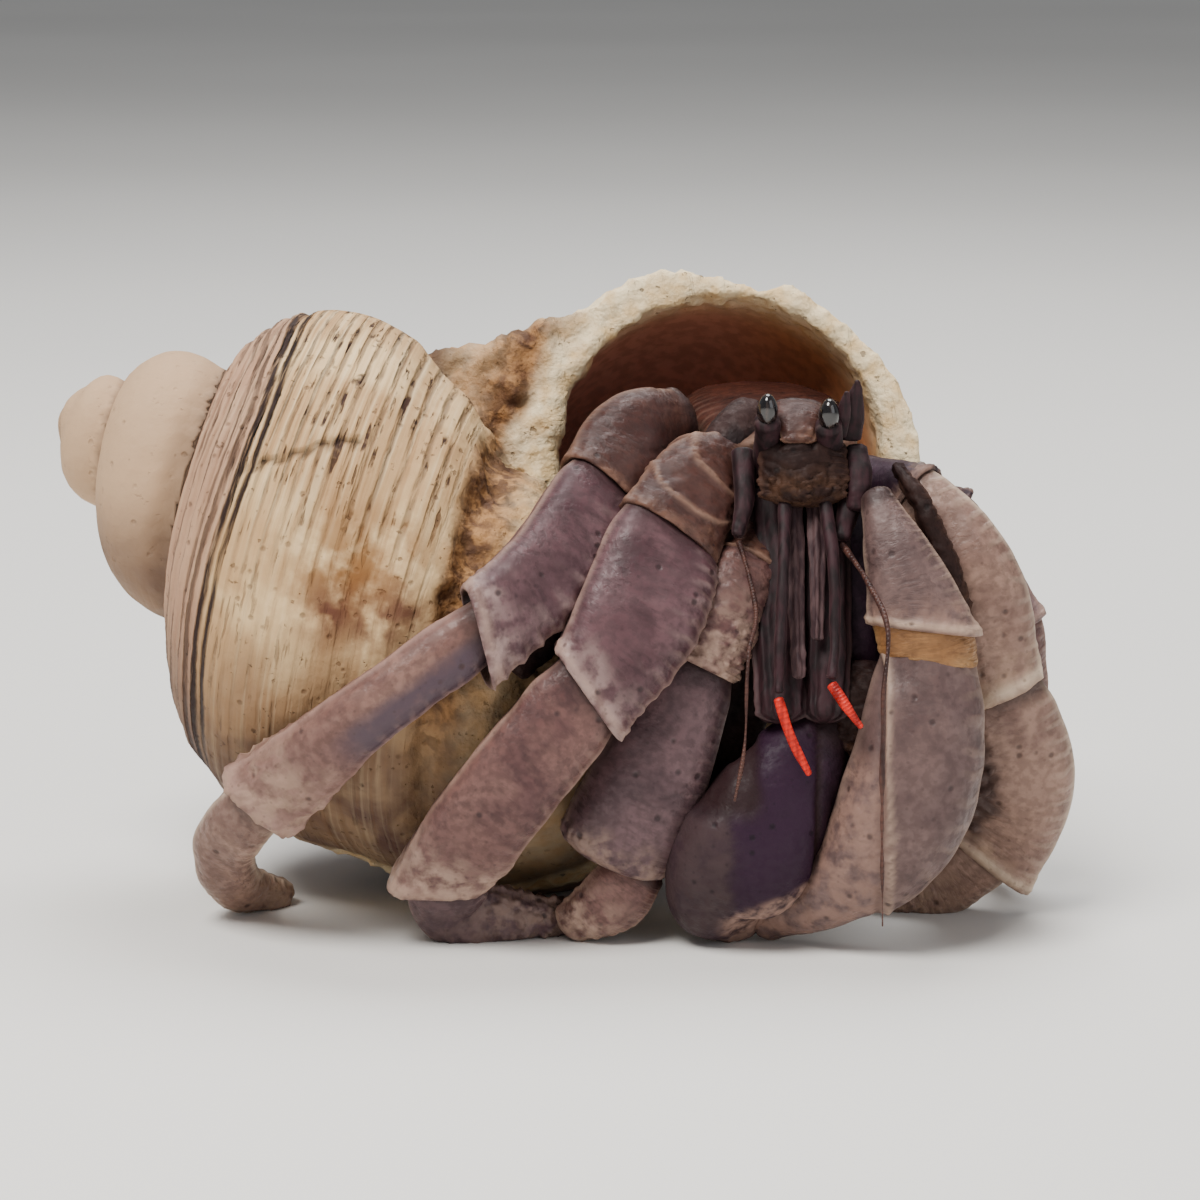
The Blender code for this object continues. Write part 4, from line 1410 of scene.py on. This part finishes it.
@dataclass
class Limb:
    """A jointed limb: its pieces from the body to the foot, and the finish of each."""

    plates: tuple[tuple[Plate, PlateFinish], ...]
    slot: str = "leg"

    def joined(self) -> list[Plate]:
        """The pieces brought together at their joints."""
        return jointed([plate for plate, _ in self.plates])

    def build(self, finishes: dict[str, bpy.types.Material]) -> None:
        """Make each piece in its own finish."""
        for plate, (_, finish) in zip(self.joined(), self.plates):
            plate.build(finishes[finish.name], self.slot)


MAUVE = PlateFinish("mauve_plate", dark=(32, 16, 19), body=(68, 42, 47), light=(93, 65, 69),
                    rim=(160, 132, 120), worn=(146, 122, 118))
BROWN = PlateFinish("brown_plate", dark=(28, 13, 12), body=(56, 30, 27), light=(75, 46, 39),
                    rim=(132, 102, 86), worn=(104, 72, 58), pit_share=0.15, ribs=0.1)
PINK = PlateFinish("pink_plate", dark=(42, 24, 26), body=(86, 56, 55), light=(112, 80, 74),
                   rim=(168, 138, 122), worn=(166, 138, 122))
PALE = PlateFinish("pale_plate", dark=(62, 42, 36), body=(120, 92, 82), light=(144, 114, 100),
                   rim=(206, 184, 162), worn=(154, 126, 106))
GREY = PlateFinish("grey_plate", dark=(36, 23, 26), body=(72, 52, 56), light=(98, 74, 77),
                   rim=(140, 116, 110), worn=(132, 108, 98), grain=0.8)
CLAW = PlateFinish("claw_plate", dark=(48, 32, 32), body=(86, 66, 64), light=(106, 84, 80),
                   rim=(170, 144, 126), worn=(136, 106, 94), wrinkles=0.3)
PURPLE = PlateFinish("purple_plate", dark=(14, 6, 14), body=(31, 14, 27), light=(46, 25, 40),
                     rim=(60, 45, 47),
                     worn=(142, 114, 102), stripe=(41, 20, 39), pit_share=0.1, gloss=0.5, wrinkles=0.25,
                     ribs=0.05, shine=0.2)
SHIELD = PlateFinish("shield_plate", dark=(22, 8, 6), body=(50, 22, 15), light=(68, 35, 26),
                     rim=(120, 94, 80), worn=(92, 66, 52), wrinkles=0.5, grain=1.0, gloss=0.6, shine=0.12)
MOUTH = PlateFinish("mouth_plate", dark=(14, 6, 6), body=(30, 16, 14), light=(44, 26, 22), rim=(76, 52, 42),
                    worn=(66, 44, 32), wrinkles=0.2, grain=1.0, gloss=0.55, shine=0.15)
ROSE = PlateFinish("rose_plate", dark=(54, 33, 30), body=(110, 78, 71), light=(132, 100, 90),
                   rim=(160, 128, 116), worn=(158, 130, 112), stripe=(72, 56, 64), wrinkles=0.25)
OCHRE = PlateFinish("ochre_membrane", dark=(76, 48, 30), body=(122, 82, 46), light=(148, 106, 66),
                    rim=(160, 126, 90), worn=(150, 112, 72), wrinkles=0.35, pit_share=0.0)

PLATE_FINISHES = (MAUVE, BROWN, PINK, PALE, GREY, CLAW, PURPLE, SHIELD, MOUTH, OCHRE, ROSE)
FEELER_FINISHES: dict[str, FeelerFinish] = {
    "red": FeelerFinish("red_feeler", (130, 16, 10), (214, 40, 24), 14.0),
    "maroon": FeelerFinish("maroon_mouthpart", (22, 9, 12), (48, 25, 30), 3.0, 0.55),
    "streaked": FeelerFinish("streaked_mouthpart", (46, 29, 33), (82, 61, 62), 2.0, 0.55),
    "brown": FeelerFinish("brown_feeler", (44, 26, 24), (84, 54, 46), 70.0),
}

LIMBS: dict[str, Limb] = {
    "right_front_leg": Limb((
        (Plate("right_front_leg_merus", ((15.0, 7.5, 38.6), (11.6, 2.8, 38.8), (8.6, -1.2, 36.2)),
               ((3.4, 3.0), (4.0, 3.1), (4.6, 2.8)), worn_from=0.9, collar=0.15, bands=(0.42, 0.62, 0.86),
               wrinkled=0.5), BROWN),
        (Plate("right_front_leg_carpus", ((8.6, -3.2, 34.2), (6.0, -6.0, 28.8), (3.2, -7.6, 23.8)),
               ((4.9, 2.6), (5.1, 2.9), (4.1, 2.5)), square=3.4, slants=(0.0, 0.42), scales=0.5), MAUVE),
        (Plate("right_front_leg_propodus", ((0.8, -8.0, 22.2), (-5.0, -7.8, 14.4), (-10.2, -4.8, 7.4)),
               ((3.8, 2.5), (4.0, 2.7), (4.1, 2.4)), square=3.6, worn_from=0.68, slants=(0.3, 0.0)), PINK),
        (Plate("right_front_leg_dactylus",
               ((-11.0, -3.0, 4.6), (-9.2, -1.6, 2.6), (-5.0, -0.6, 1.9), (-0.6, 0.2, 1.5)),
               ((3.0, 2.2), (3.0, 2.0), (2.3, 2.0), (1.4, 1.5)), end=End.TIP, worn_from=0.0,
               grain=0.25), GREY),
    )),
    "right_rear_leg": Limb((
        (Plate("right_rear_leg_merus", ((9.0, 9.6, 42.6), (5.6, 5.8, 42.0), (3.2, 2.2, 39.4)),
               ((3.2, 3.0), (3.8, 3.1), (4.1, 2.8)), worn_from=0.95, collar=0.1, wrinkled=0.3), BROWN),
        (Plate("right_rear_leg_carpus", ((3.2, 0.2, 37.4), (-1.1, -4.4, 32.8), (-5.6, -7.8, 28.6)),
               ((4.0, 2.6), (3.9, 2.8), (3.8, 2.5)), square=3.2, slants=(0.0, 0.5), scales=1.0), MAUVE),
        (Plate("right_rear_leg_propodus", ((-8.3, -9.0, 27.3), (-16.1, -9.4, 21.5), (-23.8, -5.6, 14.8)),
               ((2.7, 2.4), (2.8, 2.5), (3.7, 2.4)), square=3.2, worn_from=0.62, slants=(0.3, 0.0),
               grain=0.22, stripe=(-0.02, 0.62)), ROSE),
        (Plate("right_rear_leg_dactylus",
               ((-26.6, -3.2, 11.6), (-28.8, 0.6, 8.2), (-28.6, 5.4, 3.2), (-25.4, 9.6, 1.0)),
               ((2.6, 2.3), (2.6, 2.2), (2.2, 1.9), (1.3, 1.4)), end=End.TIP, worn_from=0.4), PALE),
    )),
    "left_front_leg": Limb((
        (Plate("left_front_leg_merus", ((25.6, 8.0, 37.6), (28.4, 5.4, 38.0)),
               ((2.6, 2.6), (2.6, 2.6))), PURPLE),
        (Plate("left_front_leg_carpus", ((31.4, 3.2, 37.0), (34.6, 1.4, 31.0), (36.6, 1.6, 23.0)),
               ((2.8, 2.6), (3.7, 3.0), (3.3, 2.6)), square=3.0, slants=(0.0, -0.3)), PALE),
        (Plate("left_front_leg_propodus", ((37.8, 2.8, 19.4), (38.2, 4.6, 13.2), (36.8, 6.4, 7.4)),
               ((3.7, 2.6), (5.5, 3.0), (5.4, 2.6)), worn_from=0.8,
               dents=(((34.9, 2.0, 12.2), (2.6, 4.0, 6.6)),)), PALE),
        (Plate("left_front_leg_dactylus", ((35.8, 7.6, 4.0), (32.8, 7.9, 2.6), (28.2, 8.3, 1.4)),
               ((3.3, 2.4), (2.8, 2.1), (1.6, 1.5)), end=End.TIP, worn_from=0.1), PALE),
    )),
    "left_rear_leg": Limb((
        (Plate("left_rear_leg_merus", ((27.4, 9.6, 36.2), (32.0, 9.4, 35.8)),
               ((2.4, 2.4), (2.5, 2.4))), PURPLE),
        (Plate("left_rear_leg_carpus", ((34.8, 9.8, 33.8), (38.2, 9.8, 27.6)),
               ((2.5, 2.3), (2.6, 2.4))), MAUVE),
        (Plate("left_rear_leg_propodus", ((39.6, 10.2, 23.6), (40.2, 12.6, 14.0)),
               ((2.6, 2.3), (2.8, 2.3))), PINK),
        (Plate("left_rear_leg_dactylus", ((39.8, 14.2, 9.8), (38.6, 16.4, 4.2), (35.4, 18.0, 0.7)),
               ((2.0, 1.8), (1.7, 1.6), (1.1, 1.1)), end=End.TIP, worn_from=0.3), PALE),
    )),
    "left_claw": Limb((
        (Plate("claw_left_merus",
               ((23.6, 5.4, 36.0), (24.2, 2.4, 31.0), (24.8, 1.0, 25.6), (24.4, 0.8, 21.4)),
               ((3.0, 3.0), (2.8, 3.0), (2.6, 2.6), (2.0, 2.0)), end=End.ROUND), PURPLE),
    ), "claw"),
    "left_claw_hand": Limb((
        (Plate("claw_left_carpus", ((26.2, -1.5, 38.0), (27.9, -3.4, 33.2), (29.9, -4.6, 28.2)),
               ((1.2, 2.2), (2.8, 3.4), (4.3, 3.6)), square=3.2, slants=(0.0, 0.42), collar=1.0), CLAW),
        (Plate("palm_membrane", ((29.95, -4.6, 27.6), (30.1, -4.65, 26.8), (30.25, -4.6, 25.9)),
               ((4.1, 3.5), (4.0, 3.4), (3.9, 3.3)), square=3.2, wrinkled=0.3, collar=0.0, ridge=0.1,
               solid=False, slants=(0.42, 0.2)), OCHRE),
        (ClawPalm("claw_left_palm",
               ((30.4, -4.6, 25.4), (29.8, -5.0, 19.8), (28.8, -5.0, 14.4), (26.2, -4.6, 9.0),
                                  (22.0, -3.4, 4.9), (17.4, -1.8, 1.8)),
               ((4.1, 3.2), (4.9, 4.6), (5.4, 5.4), (4.8, 5.2), (3.0, 3.8), (1.5, 1.6)), end=End.TIP,
               worn_from=0.86, rows=96, sides=110, grain=0.06, slants=(0.2, 0.0)), CLAW),
    ), "claw"),
    "left_claw_finger": Limb((
        (ClawFinger("claw_left_finger",
               ((22.2, -2.6, 19.2), (18.4, -4.4, 14.2), (15.4, -4.4, 8.8), (13.6, -3.0, 4.6),
                                         (14.8, -1.4, 1.6)),
               ((2.6, 2.8), (4.8, 4.2), (5.8, 4.8), (4.6, 3.6), (2.0, 1.7)), end=End.TIP, worn_from=0.9,
               rows=80, sides=96), PURPLE),
    ), "claw"),
    "right_claw": Limb((
        (Plate("claw_right_merus", ((17.2, 4.6, 35.0), (16.0, 1.6, 33.0)), ((2.4, 2.4), (2.6, 2.6))), BROWN),
        (Plate("claw_right_carpus", ((14.6, -0.6, 31.4), (13.1, -2.0, 28.2), (11.7, -2.8, 25.4)),
               ((2.8, 2.8), (3.4, 3.2), (3.0, 2.9)), worn_from=0.1, grain=0.3, wrinkled=0.5), PINK),
        (Plate("claw_right_palm",
               ((11.2, -2.4, 23.2), (8.8, -3.0, 18.4), (6.6, -3.2, 13.4), (4.2, -2.8, 8.6)),
               ((3.0, 2.6), (4.2, 3.4), (4.9, 3.8), (4.9, 3.4)), end=End.ROUND, worn_from=0.85), GREY),
    ), "claw"),
    "right_claw_finger": Limb((
        (Plate("claw_right_finger", ((6.2, -2.4, 6.6), (3.9, -2.4, 3.8), (1.0, -1.6, 1.8)),
               ((2.4, 2.4), (2.8, 2.4), (1.8, 1.6)), end=End.TIP, worn_from=0.2), PINK),
    ), "claw"),
}


HINGES: tuple[tuple[Plate, PlateFinish], ...] = (
    (Plate("side_fold", ((28.2, 1.6, 40.0), (29.9, -1.2, 37.4), (32.1, -2.6, 32.4), (33.6, -3.2, 27.4)),
           ((0.5, 1.2), (0.7, 1.2), (0.95, 1.3), (0.5, 1.0)), end=End.TIP, grain=0.3, wrinkled=0.5, sides=40,
           solid=False), MOUTH),
    (Plate("finger_hinge", ((25.2, -1.6, 23.2), (25.0, -3.2, 20.8), (24.4, -3.6, 17.6)),
           ((2.3, 2.0), (2.8, 2.4), (2.0, 2.0)), end=End.ROUND, grain=0.3, wrinkled=0.8, solid=False), MOUTH),
)


# ---------------------------------------------------------------- head
# settings that several pieces of the head share
THREAD = {"end": End.TIP, "square": 2.0, "ridge": 0.0, "grain": 0.0}
ROD = {"end": End.ROUND, "sides": 24, "square": 2.2, "ridge": 0.05, "grain": 0.05}
KNOB = {"end": End.ROUND, "sides": 28, "ridge": 0.1}
JAW = {"end": End.ROUND, "sides": 90, "ridge": 0.12, "grain": 0.1, "flutes": 9.0}
PALP = {"end": End.ROUND, "sides": 24, "ridge": 0.1, "grain": 0.1, "flutes": 5.0, "solid": False}


@dataclass
class Head:
    """Eyes on their stalks, feelers, mouthparts and the shield behind them."""

    eye_radii: Triple = (0.9, 1.0, 1.45)
    eye_tilt: float = 14.0
    eye_taper: float = 0.12
    stalk_sizes: tuple[Pair, ...] = ((1.6, 1.5), (1.25, 1.25), (1.1, 1.1))
    eyes: dict[str, tuple[tuple[Triple, ...], Triple]] = field(default_factory=lambda: {
        "right": (((17.3, 3.0, 38.8), (17.1, 0.5, 42.0), (16.9, -1.9, 44.6)), (16.9, -2.2, 45.6)),
        "left": (((22.4, 3.0, 38.8), (22.2, 0.5, 41.6), (22.0, -1.9, 44.2)), (22.0, -2.2, 45.2)),
    })
    feelers: tuple[tuple[Plate, str], ...] = (
        (Plate("antennule_tip_right", ((17.7, -9.2, 22.6), (18.8, -9.8, 19.4), (20.2, -10.2, 16.6)),
               ((0.42, 0.4), (0.4, 0.36), (0.2, 0.2)), sides=20, rows=40, **THREAD), "red"),
        (Plate("antennule_tip_left", ((22.1, -9.2, 23.8), (23.2, -9.9, 22.2), (24.4, -10.2, 20.6)),
               ((0.45, 0.42), (0.45, 0.4), (0.22, 0.22)), sides=20, rows=40, **THREAD), "red"),
        (Plate("antennule_right",
               ((18.5, -0.5, 40.0), (18.2, -5.0, 33.5), (17.9, -7.4, 27.5), (17.7, -9.0, 23.3)),
               ((0.55, 0.5), (0.5, 0.5), (0.45, 0.45), (0.42, 0.42)), **ROD), "maroon"),
        (Plate("antennule_left",
               ((21.4, -0.5, 40.0), (22.3, -5.0, 33.5), (22.4, -7.4, 27.5), (22.1, -9.0, 24.5)),
               ((0.55, 0.5), (0.5, 0.5), (0.45, 0.45), (0.42, 0.42)), **ROD), "maroon"),
        (Plate("antenna_right",
               ((14.6, -2.6, 34.6), (15.4, -5.0, 32.0), (15.9, -7.0, 29.0), (15.2, -9.0, 26.2),
                                 (14.9, -10.4, 19.0), (14.1, -11.0, 14.5)),
               ((0.25, 0.25), (0.2, 0.2), (0.16, 0.16), (0.14, 0.14), (0.12, 0.12), (0.1, 0.1)), sides=12,
               rows=160, **THREAD), "brown"),
        (Plate("antenna_left",
               ((23.2, -2.8, 34.4), (25.0, -8.0, 32.2), (26.4, -12.0, 29.0), (26.0, -13.6, 23.0),
                                (26.1, -13.2, 12.0), (26.3, -12.2, 4.2)),
               ((0.28, 0.28), (0.24, 0.24), (0.2, 0.2), (0.17, 0.17), (0.15, 0.15), (0.1, 0.1)), sides=12,
               rows=160, **THREAD), "brown"),
        (Plate("antenna_base_right", ((15.0, 1.5, 41.4), (15.1, -0.6, 38.2), (14.5, -2.3, 35.2)),
               ((0.85, 0.9), (0.75, 0.8), (0.5, 0.5)), grain=0.05, **KNOB), "maroon"),
        (Plate("antenna_base_left", ((23.8, 1.5, 41.4), (23.9, -0.6, 38.0), (23.2, -2.4, 35.0)),
               ((1.0, 1.0), (0.9, 0.9), (0.7, 0.7)), grain=0.05, **KNOB), "maroon"),
        (Plate("antenna_scale_left", ((23.9, 0.4, 43.0), (24.1, -0.6, 45.4), (24.4, -1.2, 47.8)),
               ((0.9, 0.6), (0.9, 0.5), (0.2, 0.2)), end=End.TIP, sides=28, ridge=0.1, grain=0.05), "maroon"),
        (Plate("maxilliped_right", ((17.7, 3.0, 37.8), (18.0, -1.2, 29.3), (18.2, -5.6, 20.6)),
               ((2.1, 1.8), (2.3, 1.8), (2.0, 1.4)), **JAW), "maroon"),
        (Plate("maxilliped_left", ((21.8, 3.0, 37.8), (21.9, -1.2, 29.3), (21.7, -5.6, 20.6)),
               ((2.0, 1.8), (2.0, 1.8), (1.8, 1.4)), **JAW), "maroon"),
    )
    extras: tuple[tuple[Plate, str], ...] = (
        (Plate("rostrum", ((19.5, 1.8, 45.3), (19.5, -0.4, 44.7), (19.5, -1.7, 43.0)),
               ((2.0, 0.8), (1.9, 0.9), (1.3, 0.6)), end=End.ROUND, sides=60, ridge=0.15, grain=0.2,
               solid=False), "brown_plate"),
        (Plate("scale_spine", ((22.9, -0.6, 43.4), (23.2, -1.3, 45.2), (23.5, -1.7, 47.0)),
               ((0.6, 0.5), (0.5, 0.45), (0.12, 0.12)), end=End.TIP, sides=24, ridge=0.1, grain=0.05,
               solid=False), "maroon"),
        (Plate("base_knob_left", ((24.4, 0.6, 41.8), (24.6, -0.8, 40.0), (24.4, -1.8, 37.4)),
               ((0.9, 0.9), (1.0, 1.0), (0.7, 0.7)), grain=0.2, solid=False, **KNOB), "maroon"),
        (Plate("palp_right", ((19.2, 0.0, 38.0), (19.3, -3.4, 31.0), (19.5, -6.6, 24.0)),
               ((0.7, 0.7), (0.6, 0.6), (0.4, 0.4)), **PALP), "streaked"),
        (Plate("palp_left", ((21.0, 0.0, 38.4), (21.1, -3.0, 33.0), (21.0, -5.6, 27.0)),
               ((0.7, 0.7), (0.55, 0.6), (0.3, 0.3)), **PALP), "streaked"),
        (Plate("mouth_field", ((20.0, 2.2, 43.4), (20.0, -0.3, 41.2), (20.0, -1.6, 38.4)),
               ((2.4, 2.0), (3.7, 2.2), (3.3, 1.8)), end=End.ROUND, sides=80, grain=0.35, worn_from=0.6,
               wrinkled=0.9, square=2.2, solid=False), "mouth_plate"),
    )
    shield: Plate = ShieldPlate(
        "shield", ((19.6, 3.4, 41.2), (18.6, 9.0, 41.6), (17.4, 16.0, 42.0), (16.6, 21.0, 42.0)),
        ((5.2, 1.6), (6.6, 2.2), (7.2, 2.8), (6.6, 2.8)), rows=60, square=2.5, broad=(0.0, 0.0, 1.0))

    def eye(self, side: str, centre: Triple, material: bpy.types.Material) -> None:
        """Make one cornea."""
        bm = bmesh.new()
        bmesh.ops.create_uvsphere(bm, u_segments=40, v_segments=28, radius=1.0)
        for vertex in bm.verts:
            vertex.co.x *= 1.0 - self.eye_taper * max(vertex.co.z, 0.0)
        bmesh.ops.scale(bm, vec=Vector(self.eye_radii), verts=bm.verts[:])
        tilt = Matrix.Rotation(math.radians(self.eye_tilt), 3, "X")
        bmesh.ops.rotate(bm, cent=Vector(), matrix=tilt, verts=bm.verts[:])
        bmesh.ops.translate(bm, vec=Vector(centre), verts=bm.verts[:])
        seat(to_piece(bm, "eye_" + side + "_cornea", material), ["eye_" + side], "eye")

    def build(self, finishes: dict[str, bpy.types.Material]) -> None:
        """Make every piece of the head."""
        for side, (stalk, centre) in self.eyes.items():
            self.eye(side, centre, finishes["cornea"])
            plate = Plate("eyestalk_" + side, stalk, self.stalk_sizes, end=End.ROUND, sides=36, ridge=0.03,
                          grain=0.02, square=2.1)
            plate.build(finishes["maroon"], "mouthpart")
        for plate, finish in self.feelers + self.extras:
            plate.build(finishes[finish], "flagellum" if finish == "red" else "mouthpart")
        self.shield.build(finishes["shield_plate"], "shield")


def overrun(steps: int) -> Iterable[Pair]:
    """Shares along a body, with how far past its ends each ring lies, for ends that round off."""
    for step in range(-3, steps + 4):
        share = min(max(step / steps, 0.0), 1.0)
        yield share, abs(step / steps - share) * steps / 3.5


@dataclass
class SoftBody:
    """The soft hind body in the shell, the trunk under the shield, the joints' skin and dark fillers that
    stand in for the shade between and behind the legs (painted shade), as one skin.
    """

    shell: TurbanShell
    turns: Pair = (5.66, 5.17)
    sides: int = 32
    least: float = 0.02
    fill: float = 0.85
    trunk: Plate = Plate("thorax", ((19.6, 4.4, 36.2), (18.4, 10.0, 35.6), (17.2, 16.0, 36.0)),
                         ((5.4, 3.2), (7.4, 4.6), (8.0, 5.4)), broad=(0.0, 0.0, 1.0))
    # dark skin bodies in the gaps between and behind the legs, mouthparts and claws: painted shade where the
    # crab shows mostly shadow, with some real membrane among it
    shade_fillers: tuple[Plate, ...] = (
        Plate("web_between", ((8.0, 4.0, 36.5), (1.5, -1.6, 30.5), (-4.5, -4.8, 25.0)),
              ((2.6, 1.2), (2.9, 1.2), (2.2, 1.0))),
        Plate("web_inner", ((14.0, 5.0, 36.0), (12.0, 1.5, 29.0), (9.0, 1.0, 20.0)),
              ((3.4, 1.6), (3.4, 1.6), (2.6, 1.4))),
        Plate("mouth_back", ((19.8, 5.5, 36.0), (19.8, 3.2, 28.0), (19.6, 1.6, 19.0)),
              ((4.4, 1.8), (4.6, 1.8), (4.6, 1.6))),
        Plate("claw_back", ((25.4, 4.6, 34.0), (26.0, 2.6, 27.0), (26.0, 1.2, 20.0)),
              ((3.0, 1.6), (3.0, 1.6), (3.2, 1.6))),
        Plate("left_back", ((30.0, 7.0, 35.0), (33.0, 6.0, 29.0), (34.5, 6.4, 22.0)),
              ((3.0, 1.6), (2.8, 1.4), (2.0, 1.2))),
        Plate("low_back", ((13.4, 2.6, 24.0), (13.4, 2.0, 17.0), (12.8, 2.4, 9.0)),
              ((3.4, 1.6), (3.8, 1.6), (3.2, 1.4))),
        Plate("right_top", ((16.0, 8.0, 43.5), (14.2, 4.6, 42.0), (12.4, 2.0, 38.0)),
              ((2.2, 1.8), (2.4, 1.8), (2.0, 1.4))),
    )
    voxel: float = 0.5

    def abdomen(self) -> bmesh.types.BMesh:
        """The wound hind body."""
        shell = self.shell
        rings = []
        for share, over in overrun(24):
            turn = self.turns[0] + (self.turns[1] - self.turns[0]) * share
            away, station, reach = shell.passage(turn - shell.mouth_turn)
            radius = self.fill * reach
            push = math.copysign(over * radius * 0.4, share - 0.5)
            centre = shell.point(turn, away, station) - shell.outward(turn + 0.5) * push
            radius *= math.sqrt(max(1.0 - over * over, self.least))
            rings.append(oval(centre, shell.outward(turn), shell.axis, radius, radius, self.sides))
        return plain_body(rings)

    def trunk_mesh(self) -> bmesh.types.BMesh:
        """The soft trunk below the shield."""
        rings = []
        for share, over in overrun(20):
            centre, along, across, out = self.trunk.frame(share)
            size = self.trunk.size(share) * math.sqrt(max(1.0 - over * over, self.least))
            centre = centre + along * math.copysign(over * 2.0, share - 0.5)
            rings.append(oval(centre, across, out, size.x, size.y, self.sides))
        return plain_body(rings)

    def build(self, material: bpy.types.Material, plates: Sequence[Plate]) -> bpy.types.Object:
        """Melt trunk, hind body, joint cores and the dark shade fillers into one skin.

        Args:
            material: the soft finish.
            plates: the limb pieces whose joints it fills.

        Returns:
            The finished piece.
        """
        parts = [self.abdomen(), self.trunk_mesh()] + [plate.core() for plate in plates]
        parts += [plate.core(1.0) for plate in self.shade_fillers]
        bm = blended(parts, self.voxel)
        bm.normal_update()
        for vertex, push in [(v, 0.18 * lumps(v.co, 1.8) + 0.1 * lumps(v.co, 0.8, 5.0)) for v in bm.verts]:
            vertex.co += vertex.normal * push
            vertex.co.z = max(vertex.co.z, 0.05)
        return seat(to_piece(bm, "soft_skin", material), ["thorax", "abdomen"], "soft_body")


# ---------------------------------------------------------------- studio
@dataclass
class Studio:
    """Pale floor, soft light and the camera; the lamps' places and sizes are in metres."""

    target: Triple = (3.017, 8.0, 27.599)
    eye: Triple = (3.02, -335.57, 94.38)
    lens: float = 121.81
    sensor: float = 36.0
    floor_size: float = 6.0
    clip: Pair = (0.01, 20.0)
    sky: tuple[float, float, float, float] = (0.9, 0.92, 0.95, 1.0)
    sky_strength: float = 0.28
    aim: Triple = (0.0, 0.0, 0.025)
    lamps: tuple[tuple[str, Triple, float, float, Triple], ...] = (
        ("key_light", (-0.20, -0.30, 0.60), 0.30, 7.0, (1.0, 0.97, 0.93)),
        ("fill_light", (0.5, -0.4, 0.25), 0.5, 1.2, (0.95, 0.97, 1.0)),
        ("top_light", (0.05, 0.25, 0.6), 0.4, 4.0, (1.0, 1.0, 1.0)),
    )

    def floor(self) -> None:
        """A plain, flat, pale floor."""
        bm = bmesh.new()
        bmesh.ops.create_grid(bm, x_segments=1, y_segments=1, size=self.floor_size / 2.0)
        graph = MaterialGraph("studio_floor")
        shade = graph.mix(graph.span(graph.noise(3.0, 2.0), 0.3, 0.7), (226, 224, 220), (232, 230, 226))
        floor = linked("studio_floor", bm)
        floor.data.materials.append(graph.finish({"Base Color": shade, "Roughness": 0.8}))
        floor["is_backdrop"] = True

    def light(self, name: str, place_at: Triple, size: float, power: float, tint: Triple) -> None:
        """A square soft light aimed at the model, its place in metres."""
        data = bpy.data.lights.new(name, "AREA")
        data.size = size
        data.energy = power
        data.color = tint
        lamp = bpy.data.objects.new(name, data)
        lamp.location = Vector(place_at)
        lamp.rotation_euler = (Vector(self.aim) - Vector(place_at)).to_track_quat("-Z", "Y").to_euler()
        bpy.context.scene.collection.objects.link(lamp)

    def build(self) -> None:
        """Set up floor, lights, world and camera."""
        self.floor()
        for lamp in self.lamps:
            self.light(*lamp)
        world = bpy.data.worlds.new("studio")
        world.use_nodes = True
        world.node_tree.nodes["Background"].inputs["Color"].default_value = self.sky
        world.node_tree.nodes["Background"].inputs["Strength"].default_value = self.sky_strength
        bpy.context.scene.world = world
        data = bpy.data.cameras.new("camera")
        data.lens = self.lens
        data.sensor_width = self.sensor
        data.clip_start, data.clip_end = self.clip
        camera = bpy.data.objects.new("camera", data)
        camera.location = place(self.eye)
        camera.rotation_euler = (place(self.target) - place(self.eye)).to_track_quat("-Z", "Y").to_euler()
        bpy.context.scene.collection.objects.link(camera)
        bpy.context.scene.camera = camera


def corners(box: Sequence[Sequence[float]]) -> list[list[float]]:
    """A box as plain lists of numbers."""
    return [[float(value) for value in corner] for corner in box]


def main() -> None:
    """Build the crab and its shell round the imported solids, piece by piece."""
    logging.basicConfig(level=logging.INFO, format="%(message)s")
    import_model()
    solid_box = corners(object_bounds())
    Studio().build()
    shell = TurbanShell()
    shell.build()
    finishes = {finish.name: finish.make() for finish in (*PLATE_FINISHES, EyeFinish())}
    finishes.update({key: finish.make() for key, finish in FEELER_FINISHES.items()})
    soft = SoftFinish().make()
    for limb in LIMBS.values():
        limb.build(finishes)
    for plate, finish in HINGES:
        plate.build(finishes[finish.name], "soft_body")
    Head().build(finishes)
    SoftBody(shell).build(soft, [plate for limb in LIMBS.values() for plate in limb.joined()])
    {"cad": solid_box, "visual": corners(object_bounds())}


if __name__ == "__main__":
    main()
